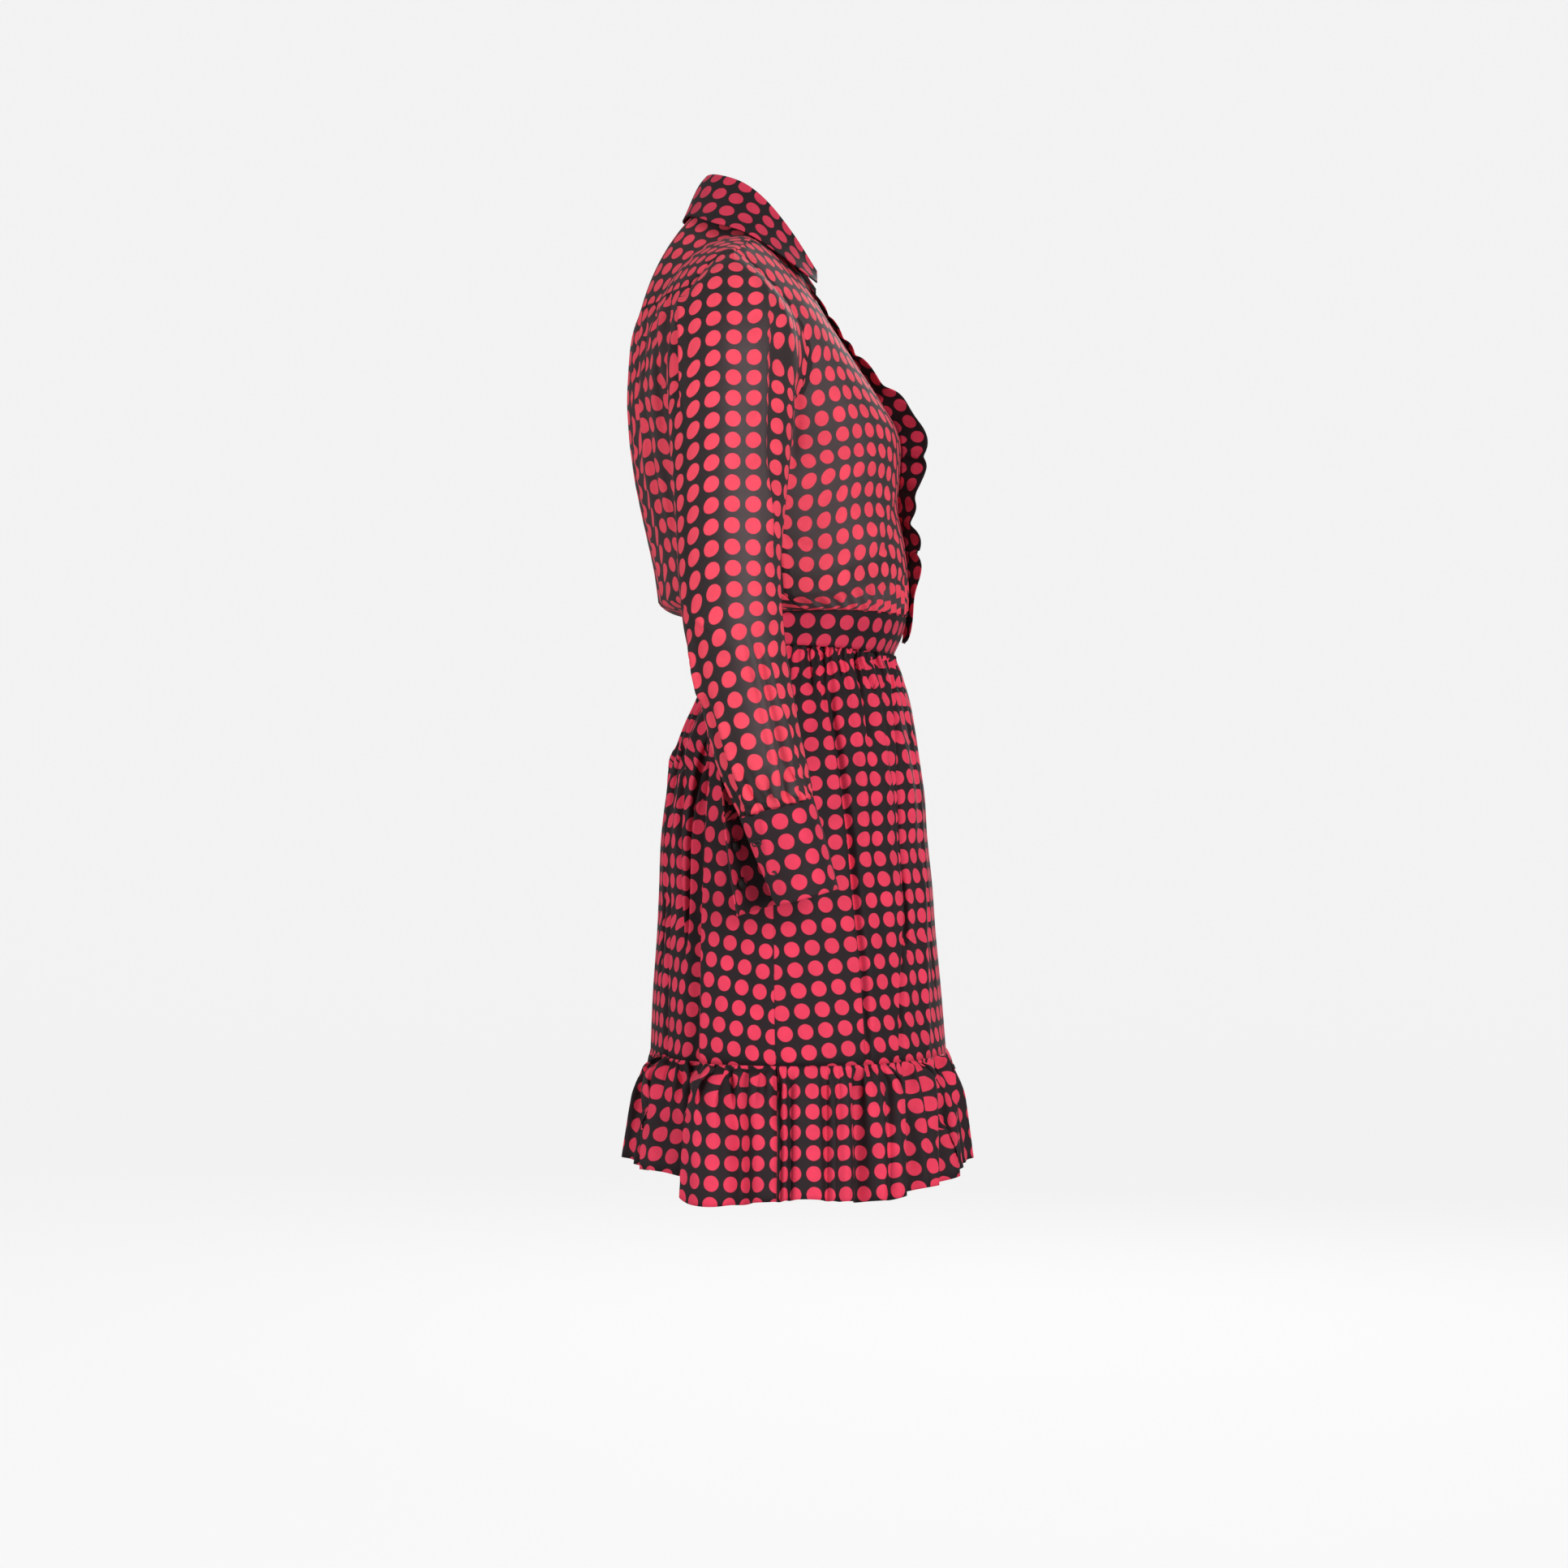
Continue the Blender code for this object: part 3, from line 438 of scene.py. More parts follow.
def near_line(seen, line):
    """The distance to a bent line, the share of it that lies before, and the side of it."""
    runs = np.diff(line, axis=0)
    lengths = np.linalg.norm(runs, axis=1)
    starts = np.concatenate([[0], np.cumsum(lengths)])
    away, along, side = np.full((3, *seen.shape[:2]), [[[FAR]], [[0.0]], [[0.0]]])
    for start, run, length, before in zip(line, runs, lengths, starts):
        share = np.clip(((seen - start) @ run) / length**2, 0, 1)
        apart = seen - start - share[..., None] * run
        distance = np.linalg.norm(apart, axis=-1)
        nearer = distance < away
        along = np.where(nearer, (before + share * length) / starts[-1], along)
        side = np.where(nearer, apart[..., 0] * run[1] - apart[..., 1] * run[0], side)
        away = np.where(nearer, distance, away)
    return away, along, side


def both_sides(folds):
    """The folds of one side, and the same ones on the other side."""
    return folds + [
        ([(-across, down) for across, down in line], width, height, -lean)
        for line, width, height, lean in folds
    ]


print("one fold on both sides:", both_sides([([(12, 60), (10, 210)], 6.0, 1.8, 0)]))

# %% [markdown]
# Seams show through sheer cloth as dark strips, 6 mm wide, because the cloth lies double there and less painted
# light shows through it.

# %% Doubled edges, and the other side of the body
DOUBLED, SEAM_EDGE = 0.25, 0.001


def light_past_seams(cut, edges):
    """The painted light that shows through: lower near the sewn edges, where the cloth lies double, and 1 away from
    them.
    """
    lines = {"top": cut[:1], "bottom": cut[-1:], "first": cut[:, :1], "last": cut[:, -1:]}
    value = np.ones(cut.shape[:2])
    for edge in edges:
        from_edge = np.linalg.norm(cut - lines[edge], axis=-1)
        value = value * (DOUBLED + (1 - DOUBLED) * ease((from_edge - SEAM_WIDTH) / SEAM_EDGE))
    return value


def mirrored(points):
    """The same sheet on the wearer's right, still facing outwards."""
    other = points[:, ::-1].copy()
    other[..., 0] *= -1
    return other


def mirrored_cut(cut):
    """The cut of the mirrored sheet."""
    return cut[:, ::-1] * np.array([-1.0, 1.0])


def turned(cut, degrees):
    """The cut with its grain turned, as on a piece that was cut a little off the straight."""
    c, s = math.cos(math.radians(degrees)), math.sin(math.radians(degrees))
    return cut @ np.array([[c, -s], [s, c]]).T


print("a cut point on the other side:", mirrored_cut(np.array([[[0.1, 0.2]]]))[0, 0])

# %% [markdown]
# The grid operator makes the flat grid, so each of its vertices only has to be moved to its place.
# Solidify then gives the cloth its thickness, on the inner side.

# %% A piece of cloth
MERGE = 1e-6


def laid_grid(points, flat, light_through, closed):
    """A grid laid on the points, with its flat cut as UV map and its painted light showing through as attribute."""
    rows, columns = points.shape[:2]
    shape = bmesh.new()
    bmesh.ops.create_grid(shape, x_segments=columns - 1, y_segments=rows - 1, size=1.0)
    cut_layer = shape.loops.layers.uv.new("cut")
    light_through_at = shape.verts.layers.float.new("light_through")
    at = {
        vertex: (round((1 - vertex.co.y) / 2 * (rows - 1)), round((vertex.co.x + 1) / 2 * (columns - 1)))
        for vertex in shape.verts
    }
    flat, laid = flat.tolist(), points.tolist()
    layers = np.broadcast_to(light_through, (rows, columns)).tolist()
    for face in shape.faces:
        for loop in face.loops:
            i, j = at[loop.vert]
            loop[cut_layer].uv = flat[i][j]
    for vertex, (i, j) in at.items():
        vertex.co = laid[i][j]
        vertex[light_through_at] = layers[i][j]
    if closed:
        bmesh.ops.remove_doubles(shape, verts=shape.verts, dist=MERGE)
    return shape


def new_piece(name, shape, material):
    """A smooth finished object, in one material."""
    mesh = bpy.data.meshes.new(name)
    shape.to_mesh(mesh)
    shape.free()
    mesh.shade_smooth()
    mesh.materials.append(material)
    piece = bpy.data.objects.new(name, mesh)
    bpy.context.scene.collection.objects.link(piece)
    return piece


print("grid and piece ready")

# %% [markdown]
# One function dresses one wall of the model. It sets the first dot of the piece where the charted
# one lies. A second one dresses a left piece and its mirror image.

# %% Cloth for each wall
# The light that shows through the cloth, given for each point or as one level for the piece, is painted into the
# ground's colour.
def cloth_piece(
    node, points, cut, material, first_dot, light_through=0.5, wall=CLOTH_WALL, closed=False, grain_turn=0.0,
):
    """A sheet of cloth for a wall of the model, laid on the points."""
    flat = turned(cut, grain_turn) - np.array(first_dot) / 1000 + DOT_PITCH / 2
    shape = laid_grid(points, flat, light_through, closed)
    area = sum(face.calc_area() for face in shape.faces)
    piece = new_piece(node + "_cloth", shape, material)
    solid = piece.modifiers.new("thickness", "SOLIDIFY")
    solid.thickness = wall
    solid.offset = -1
    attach(piece, "root")
    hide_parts(node)


def both_pieces(stem, points, cut, material, first_dot, light_through=0.5, wall=CLOTH_WALL, closed=False):
    """The left piece, and its mirror image on the right."""
    light_through = np.broadcast_to(light_through, points.shape[:2])
    cloth_piece(f"{stem}_left", points, cut, material, first_dot, light_through, wall, closed)
    cloth_piece(
        f"{stem}_right", mirrored(points), mirrored_cut(cut), material, first_dot,
        light_through[:, ::-1], wall, closed,
    )


print(f"sheets {CLOTH_WALL * 1000:.1f} mm thick")

# %% [markdown]
# ## The bodice
#
# The bodice is longer than the body. It is gathered into a low waistband and hangs over it, which
# gives the loose bag of a blouson. Its surface is read at an angle round the body and at a cloth
# distance below the shoulder line. The cloth turns over the shoulder, hangs, reaches its lowest
# fold, and turns under to the waistband. The fold lies higher at the front than at the back.

# %% Sizes of the bodice
SHOULDER = table("x front drop", [
    (0.000, 0.020, -0.060),
    (0.035, 0.008, -0.044),
    (0.068, -0.004, -0.003),
    (0.120, -0.012, 0.015),
    (0.186, -0.016, 0.036),
])
BODICE = table("drop front back half", [
    (-0.020, 0.028, -0.112, 0.186),
    (0.020, 0.038, -0.113, 0.186),
    (0.060, 0.057, -0.113, 0.185),
    (0.090, 0.076, -0.113, 0.181),
    (0.120, 0.096, -0.1125, 0.176),
    (0.150, 0.116, -0.1130, 0.169),
    (0.177, 0.131, -0.1115, 0.163),
    (0.210, 0.132, -0.109, 0.157),
    (0.243, 0.130, -0.103, 0.153),
    (0.276, 0.136, -0.096, 0.151),
    (0.300, 0.139, -0.091, 0.150),
    (0.328, 0.140, -0.087, 0.149),
])
BODICE_SQUARENESS = 2.3
CHEST_HALF = 0.186
TURN_CLOTH_FRONT, TURN_CLOTH_BACK = 0.100, 0.160
TURN_DROP_FRONT, TURN_DROP_BACK_CENTRE, TURN_DROP_BACK_SIDE = 0.070, 0.200, 0.120
FOLD_CLOTH, TUCK_CLOTH = 0.365, 0.050
FOLD_LEVEL = table("degrees drop sag", [
    (0, 0.3040, 0.001),
    (25, 0.3065, 0.002),
    (50, 0.3140, 0.003),
    (75, 0.3250, 0.005),
    (100, 0.3280, 0.008),
    (180, 0.3285, 0.010),
])
YOKE_SEAM_DROP = 0.064
BACK_GATHERS, BACK_GATHER_DEPTH = 26, 0.0014
BACK_GATHERS_START, BACK_GATHERS_RISE = YOKE_SEAM_DROP, 0.015
FOLD_PUCKERS, FOLD_PUCKER_DEPTH = 58, 0.0016
print("bodice levels:", len(BODICE["drop"]))

# %% [markdown]
# The skirt is charted the same way, from the waistband's top down to the flounce.

# %% Sizes of the waistband and the skirt
SKIRT = table("drop front back half", [
    (0.330, 0.1385, -0.0390, 0.1195),
    (0.350, 0.1370, -0.0385, 0.1190),
    (0.366, 0.1310, -0.0375, 0.1185),
    (0.377, 0.1265, -0.0395, 0.1205),
    (0.392, 0.1320, -0.0445, 0.1270),
    (0.414, 0.1395, -0.0525, 0.1380),
    (0.443, 0.1455, -0.0660, 0.1500),
    (0.472, 0.1500, -0.0755, 0.1595),
    (0.503, 0.1545, -0.0810, 0.1670),
    (0.540, 0.1570, -0.0855, 0.1730),
    (0.589, 0.1620, -0.0875, 0.1785),
    (0.624, 0.1645, -0.0890, 0.1820),
    (0.683, 0.1700, -0.0930, 0.1890),
    (0.733, 0.1740, -0.0950, 0.1935),
])
SKIRT_SQUARENESS = 2.15
WAIST_TOP_DROP, WAIST_TOP_TILT = 0.337, 0.004
WAIST_BOTTOM_DROP, WAIST_BOTTOM_TILT = 0.3715, 0.0055
print("skirt levels:", len(SKIRT["drop"]))

# %% [markdown]
# The cloth starts on the shoulder line and turns over it through a quarter of an oval. Below that it
# follows the charted rings down to the fold. The drop depends on the place across, and the place on
# the drop, so the two are worked out by turns until they agree.

# %% The bodice's surface
def shoulder_line(name, x):
    """How far ahead or how low the shoulder line is, so far from the centre."""
    return smooth_through(SHOULDER["x"], SHOULDER[name], np.abs(x), level_start=True)


def turn_drop(x, is_front):
    """How far the cloth drops while it turns over the shoulder."""
    side = np.clip(np.abs(x) / SHOULDER["x"][-1], 0, 1)
    back = TURN_DROP_BACK_CENTRE + side * (TURN_DROP_BACK_SIDE - TURN_DROP_BACK_CENTRE)
    return np.where(is_front, TURN_DROP_FRONT, back)


def fold_level(name, angle):
    """How low the blouson's fold hangs, or how much it sags, at an angle round the body."""
    degrees = np.degrees(np.arccos(np.clip(np.cos(angle), -1, 1)))
    return smooth_through(FOLD_LEVEL["degrees"], FOLD_LEVEL[name], degrees, level_start=True)


def bodice(angle, cloth):
    """A point of the bodice: angle round the body, and cloth distance below the shoulder line."""
    angle, cloth = np.broadcast_arrays(np.asarray(angle, float), np.asarray(cloth, float))
    is_front = np.cos(angle) >= 0
    turn_cloth = np.where(is_front, TURN_CLOTH_FRONT, TURN_CLOTH_BACK)
    turn = np.clip(cloth / turn_cloth, 0, 1) * math.pi / 2
    below = np.clip((cloth - turn_cloth) / (FOLD_CLOTH - turn_cloth), 0, 1)
    lowest = fold_level("drop", angle)
    drop = np.full(angle.shape, 0.1)
    for _ in range(4):
        x, ahead = ring(BODICE, BODICE_SQUARENESS, angle, drop)
        line = shoulder_line("drop", x)
        turned = line + turn_drop(x, is_front) * (1 - np.cos(turn))
        drop = turned + below * (lowest - turned)
    line_ahead = shoulder_line("front", x)
    points = place(x, line_ahead + (ahead - line_ahead) * np.sin(turn), drop)
    gathered = ease((drop - BACK_GATHERS_START) / BACK_GATHERS_RISE)
    gathered = gathered * (1 - 0.5 * ease((drop - 0.2) / 0.1)) * np.clip(-1.6 * np.cos(angle), 0, 1)
    points = pushed(points, BACK_GATHER_DEPTH * gathered * np.sin(uneven(angle, BACK_GATHERS, 0.4)))
    return tucked(points, angle, cloth)

# %% [markdown]
# Below the fold the cloth turns under to the waistband's top edge, in a rounded half turn that sags
# a little and puckers where it is gathered in.

# %% The blouson's fold
def tucked(points, angle, cloth):
    """The bottom of the bodice, which hangs over the waistband and turns under to its top edge."""
    drop = WAIST_TOP_DROP + WAIST_TOP_TILT * np.cos(angle)
    x, ahead = ring(SKIRT, SKIRT_SQUARENESS, angle, drop)
    end = pushed(place(x, ahead, drop), np.full(angle.shape, 0.0004))
    under = np.clip((cloth - FOLD_CLOTH) / TUCK_CLOTH, 0, 1) * math.pi
    down = ((1 - np.cos(under)) / 2)[..., None]
    inwards = (0.55 * np.sin(under / 2) + 0.45 * down[..., 0])[..., None]
    share = np.concatenate([inwards, inwards, down], axis=-1)
    sag = fold_level("sag", angle) * np.maximum(np.sin(under), 0) ** 0.6
    puckers = FOLD_PUCKER_DEPTH * ease((cloth - FOLD_CLOTH) / 0.02) * np.sin(uneven(angle, FOLD_PUCKERS, 1.3))
    puckers = puckers * (0.35 + 0.65 * np.sin(under))
    return pushed(points + (end - points) * share + place(0, 0, sag), puckers)


print("the centre front's fold:", bodice(0.0, FOLD_CLOTH).round(3))

# %% [markdown]
# ## Fronts, back and yoke
#
# The bodice is cut in four: a yoke over the shoulders, a back gathered below it, and two fronts that
# meet in a deep V. On each, the grain hangs straight down. The cloth that runs over the bust is
# longer than the cloth at the side, so the rows of dots rise towards the front, as they do on any
# dress with no darts. The right front laps over the left.

# %% Edges of the bodice's panels
NECK = table("cloth x", [
    (0.000, 0.0680),
    (0.050, 0.0655),
    (0.090, 0.0580),
    (0.116, 0.0500),
    (0.142, 0.0380),
    (0.173, 0.0240),
    (0.190, 0.0140),
    (0.215, 0.0000),
])
NAPE_CLOTH, NECK_SIDE_X, YOKE_OVER = 0.061, 0.068, 0.016
LAP_X, LAP_START_CLOTH, LAP_SINK, LAP_SINK_X, LAP_EASE = 0.006, 0.205, 0.0022, 0.035, 0.020
ARMHOLE_FRONT_CLOTH, ARMHOLE_BACK_CLOTH = 0.202, 0.203
ARMHOLE_FRONT_SCOOP, ARMHOLE_BACK_SCOOP = math.radians(33), math.radians(30)


def armhole_angle(cloth, is_front):
    """The angle of the armhole's edge at a cloth distance below the shoulder line."""
    if is_front:
        share = np.clip(np.asarray(cloth) / ARMHOLE_FRONT_CLOTH, 0, 1) ** 0.85
        return math.pi / 2 - ARMHOLE_FRONT_SCOOP * np.sin(math.pi * share)
    share = np.clip(np.asarray(cloth) / ARMHOLE_BACK_CLOTH, 0, 1) ** 1.15
    return math.pi / 2 - ARMHOLE_BACK_SCOOP * np.sin(math.pi * share)


def angle_at(x):
    """The angle from the centre of a point so far across the chest."""
    return np.arcsin(np.clip(np.asarray(x) / CHEST_HALF, 0, 1) ** (BODICE_SQUARENESS / 2))


def neck_angle(cloth):
    """The angle of the neckline's edge from the centre front."""
    return angle_at(smooth_through(NECK["cloth"], NECK["x"], cloth))


print("the armhole's scoop:", round(math.degrees(ARMHOLE_FRONT_SCOOP)), "degrees")

# %% [markdown]
# The yoke lies over the shoulders, from a level seam across the back to a seam 16 mm ahead of the
# shoulder line. Its seam is level though the cloth slopes, so its cloth distance is worked out too.

# %% Edges of the yoke
def yoke_seam_cloth(across):
    """The cloth distance to the yoke's level back seam: across is -1 and 1 at the armholes."""
    cloth = np.full(np.shape(across), YOKE_SEAM_DROP)
    for _ in range(4):
        angle = np.abs(across) * armhole_angle(cloth, False)
        x = CHEST_HALF * rounded(np.sin(angle), BODICE_SQUARENESS)
        line = shoulder_line("drop", x)
        turn = np.arccos(1 - (YOKE_SEAM_DROP - line) / turn_drop(x, False))
        cloth = TURN_CLOTH_BACK * turn / (math.pi / 2)
    return cloth


def yoke_top_cloth(x):
    """The yoke's upper edge: along the nape at the back, ahead of the shoulder line at the sides."""
    inside = np.clip(1 - (x / NECK_SIDE_X) ** 2, 0, 1)
    return -YOKE_OVER + (NAPE_CLOTH + YOKE_OVER) * np.sqrt(inside)


def over_shoulder(across, cloth):
    """A bodice point at a share of the width, ahead of the shoulder line where the cloth is negative."""
    share, side = np.abs(across), np.where(across < 0, -1, 1)
    to_front = share * armhole_angle(-cloth, True)
    to_back = math.pi - share * armhole_angle(cloth, False)
    return bodice(side * np.where(cloth < 0, to_front, to_back), np.abs(cloth))


def straight_down(angle, cloth, start=0.0):
    """Cloth length from the shoulder line, or another start, straight down to each point."""
    angle, cloth, start = np.broadcast_arrays(angle, cloth, start)
    share = np.linspace(0, 1, 25)
    path = bodice(angle[..., None] + 0 * share, start[..., None] + (cloth - start)[..., None] * share)
    return np.linalg.norm(np.diff(path, axis=-2), axis=-1).sum(axis=-1)


print("the yoke's seam at the centre back:", yoke_seam_cloth(np.zeros(1)).round(3))

# %% [markdown]
# Each front runs from the neckline to the armhole and the side seam. Its grain is turned a little,
# as on a front that was cut along the slope of the V. The left front sinks under the right one.

# %% The fronts
FRONT_ROWS, FRONT_COLUMNS = 120, 100
FRONT_GRAIN_TURN, FRONT_PIN = 10.5, 38
FRONT_FIRST_DOT = (-0.7, -7.8)
FRONT_FOLDS = [
    ([(22, 281), (33, 283), (44, 286), (62, 291)], 2.4, -2.6, 0),
    ([(40, 65), (38, 96), (37, 140), (36, 185), (32, 237)], 6, -4, 0),
    ([(129, 219), (113, 259), (95, 297)], 9, 2.2, 0),
    ([(131, 266), (113, 290), (89, 312)], 5, -2.4, 0),
    ([(72, 206), (73, 237), (72, 268)], 3, 1.2, 0),
    ([(89, 192), (91, 237), (89, 281)], 7, -1.6, 0),
    ([(66, 136), (80, 180), (85, 219)], 12, 1.8, 0),
]


def front_light_through(angle, cloth, cut):
    """The painted light through a front: most over the bust, painted shade near the armhole, in the fold and at its
    seams, and more on the strip that turns under.
    """
    light_through = light_past_seams(cut, ("top", "bottom", "first", "last"))
    light_through = light_through * (0.45 + 0.35 * ease((angle - 0.5) / 0.5) - 0.3 * ease((angle - 1.35) / 0.2))
    light_through = light_through * (1 - 0.55 * np.exp(-(((cloth - FOLD_CLOTH + 0.010) / 0.012) ** 2)))
    return light_through + 0.35 * ease((cloth - FOLD_CLOTH - 0.012) / 0.008) * light_past_seams(cut, ("bottom",))


def front_panel(is_left):
    """Half of the front and its cut, from the neckline to the armhole and the side seam."""
    body = YOKE_OVER + (FOLD_CLOTH - YOKE_OVER) * np.linspace(0, 1, FRONT_ROWS - 30)
    cloth = np.concatenate([body, FOLD_CLOTH + TUCK_CLOTH * np.linspace(0, 1, 31)[1:]])[:, None]
    lap = angle_at(LAP_X) * ease((cloth - LAP_START_CLOTH) / LAP_EASE)
    inner = neck_angle(cloth) - lap
    angle = inner + (armhole_angle(cloth, True) - inner) * np.linspace(0, 1, FRONT_COLUMNS)[None, :]
    points = bodice(angle, cloth)
    line_x = CHEST_HALF * rounded(np.sin(angle), BODICE_SQUARENESS)
    down = shoulder_line("drop", line_x) + straight_down(angle, cloth)
    to_edge = bodice(inner * np.linspace(0, 1, 30)[None, :], cloth)
    start = np.linalg.norm(np.diff(to_edge, axis=1), axis=-1).sum(axis=1, keepdims=True) * np.sign(inner)
    points = folded(points, FRONT_FOLDS)
    if is_left:
        lapped = ease((LAP_SINK_X - points[..., :1]) / LAP_EASE)
        lapped = lapped * ease((cloth - LAP_START_CLOTH + LAP_EASE) / LAP_EASE)[..., None]
        points = points - normals_of(points) * LAP_SINK * lapped
    along = across_grain(points, down, start)
    pinned = np.interp(down, down[:, FRONT_PIN], along[:, FRONT_PIN]) + along_levels(points, down, FRONT_PIN)
    along = np.where(np.arange(FRONT_COLUMNS) < FRONT_PIN, pinned, along)
    cut = np.stack([along, down], axis=-1)
    light_through = front_light_through(angle, cloth, cut)
    return (points, cut, light_through) if is_left else (mirrored(points), mirrored_cut(cut), light_through[:, ::-1])


for is_left, node in ((True, "front_left"), (False, "front_right")):
    points, cut, light_through = front_panel(is_left)
    cloth_piece(
        node, points, cut, lit_sheer_crepe, FRONT_FIRST_DOT, light_through,
        grain_turn=FRONT_GRAIN_TURN if is_left else -FRONT_GRAIN_TURN,
    )

# %% [markdown]
# The back is gathered to the yoke's seam. Its folds near the armhole are charted from the side, and
# those across the middle, which the side view doesn't show, from behind, alike on both sides.

# %% The back
BACK_ROWS, BACK_COLUMNS, BACK_UNDER_ROWS = 96, 260, 20
BACK_FIRST_DOT = (-2.9, -8.4)
BACK_FOLDS = [
    ([(-98, 56), (-97, 96), (-97, 138)], 3.0, -2.4, 0),
    ([(-88, 52), (-87, 96), (-85, 129), (-82, 163), (-79, 207)], 3.6, -3.6, 0),
    ([(-75, 47), (-74, 96), (-73, 129), (-72, 174)], 3.2, -3.0, 0),
    ([(-81, 52), (-80, 96), (-76, 151)], 4, 2, 0),
    ([(-104, 96), (-104, 163), (-100, 207)], 4, -1.6, 0),
    ([(-80, 206), (-75, 237), (-71, 281)], 4.5, -2.8, 0),
]
BACK_CENTRE_FOLDS = both_sides([
    ([(96, 60), (94, 140), (90, 260)], 5.0, -3.0, 0),
    ([(62, 60), (60, 130), (58, 230)], 4.6, -2.8, 0),
    ([(36, 60), (35, 110), (30, 180)], 4.0, -2.4, 0),
    ([(12, 60), (12, 130), (10, 210)], 6.0, 1.8, 0),
])


def back_panel():
    """The back and its cut, from the yoke's seam to the waistband."""
    across = np.linspace(-1, 1, BACK_COLUMNS + 1)[None, :]
    seam = yoke_seam_cloth(across)
    body = seam + (FOLD_CLOTH - seam) * np.linspace(0, 1, BACK_ROWS - BACK_UNDER_ROWS)[:, None]
    under = FOLD_CLOTH + TUCK_CLOTH * np.linspace(0, 1, BACK_UNDER_ROWS + 1)[1:, None] + 0 * across
    cloth = np.concatenate([body, under])
    angle = math.pi + armhole_angle(cloth, False) * across
    points = bodice(angle, cloth)
    down = straight_down(angle, cloth, seam)
    pin = int(BACK_COLUMNS * 0.8)
    pinned = across_grain(points, down, middle=BACK_COLUMNS // 2)[:, pin:pin + 1]
    points = folded(folded(points, BACK_CENTRE_FOLDS, "front"), BACK_FOLDS)
    return points, np.stack([across_grain(points, down, pinned, pin), down], axis=-1)


points, cut = back_panel()
light_through = 0.45 * light_past_seams(cut, ("top", "bottom", "first", "last"))
cloth_piece("back_bodice", points, cut, lit_sheer_crepe, BACK_FIRST_DOT, light_through)

# %% [markdown]
# The yoke is laid from side to side over both shoulders. It has no folds, because it carries the
# whole dress and is pulled smooth.

# %% The yoke
YOKE_FIRST_DOT = (5.3, -1.3)


def yoke_panel(columns=121, rows=44):
    """The yoke and its cut, from the neck and the fronts down to the seam across the back."""
    side = np.linspace(1, -1, columns)
    x = np.abs(side) ** 0.85 * CHEST_HALF
    across = np.sign(side) * angle_at(x) / (math.pi / 2)
    top = yoke_top_cloth(x)
    cloth = top + (yoke_seam_cloth(across) - top) * np.linspace(0, 1, rows)[:, None]
    points = over_shoulder(across, cloth)
    down = travelled(points, 0)
    down = down - down[-1:]
    return points, np.stack([across_grain(points, down, middle=columns // 2), down], axis=-1)


points, cut = yoke_panel()
light_through = 0.35 * light_past_seams(cut, ("top", "bottom", "first", "last"))
cloth_piece("back_yoke", points, cut, lit_sheer_crepe, YOKE_FIRST_DOT, light_through)

# %% [markdown]
# ## Sleeves and cuffs
#
# A set-in sleeve is cut flat with a rounded head and closed under the arm. Its rings run from the
# armhole to the cuff, and each slopes from the outer side down to the inner side.

# %% Sizes of the sleeve
SLEEVE = table("outer_x outer_drop inner_x inner_drop front half_depth", [
    (0.2200, 0.0640, 0.1680, 0.2060, -0.0170, 0.0550),
    (0.2430, 0.1120, 0.1760, 0.2330, -0.0180, 0.0530),
    (0.2570, 0.1700, 0.1810, 0.2640, -0.0185, 0.0500),
    (0.2650, 0.2350, 0.1860, 0.3000, -0.0190, 0.0455),
    (0.2700, 0.3000, 0.1900, 0.3380, -0.0190, 0.0425),
    (0.2740, 0.3520, 0.1930, 0.3730, -0.0155, 0.0415),
    (0.2760, 0.4000, 0.1955, 0.4110, -0.0075, 0.0395),
    (0.2765, 0.4450, 0.1975, 0.4500, 0.0010, 0.0385),
    (0.2750, 0.4800, 0.1995, 0.4830, 0.0095, 0.0370),
])
SLEEVE_ROWS, SLEEVE_COLUMNS = 184, 160
ARMHOLE_CLEAR, CUFF_GATHERS, CUFF_GATHER_DEPTH = 0.0006, 23, 0.0011
print("sleeve rings:", len(SLEEVE["front"]))

# %% [markdown]
# The wide cuffs are worn unbuttoned. The underlap, the end that carries the buttons, swings out
# behind the overlap.

# %% Sizes of the cuff
CUFF = table("share front drop half_depth lap_angle swing", [
    (0.0, 0.0200, 0.5120, 0.0300, 172, 1.43),
    (0.5, 0.0320, 0.5500, 0.0290, 158, 1.74),
    (1.0, 0.0440, 0.5880, 0.0275, 145, 2.03),
])
CUFF_X, CUFF_HALF_X, CUFF_SLOPE = 0.2395, 0.0325, 0.28
SWING_START, UNDERLAP_ANGLE = math.radians(-105), math.radians(-180)


def cuff_angle(share, around):
    """The angle round the cuff: straight ahead is 0, the outer side a quarter turn."""
    start = np.radians(smooth_through(CUFF["share"], CUFF["lap_angle"], share))
    return start + (UNDERLAP_ANGLE - start) * around


def cuff_grid(share, around):
    """Points of the left cuff: share of its height, and round it from the overlap to the underlap."""
    read = {name: smooth_through(CUFF["share"], CUFF[name], share) for name in CUFF}
    angle = cuff_angle(share, around)
    swung = ease((SWING_START - angle) / (SWING_START - UNDERLAP_ANGLE))
    wider = 1 + (read["swing"] - 1) * swung
    along = read["half_depth"] * wider * np.cos(angle)
    sideways = CUFF_HALF_X * wider * np.sin(angle)
    return place(CUFF_X + sideways, read["front"] + along, read["drop"] - CUFF_SLOPE * along)


print("the overlap's top edge:", cuff_grid(0.0, 0.0).round(3))

# %% [markdown]
# The sleeve starts on the armhole itself. The armhole is read from the back and the front of the
# bodice as one ring, and shared out so that the shoulder and the underarm stay at its quarters.

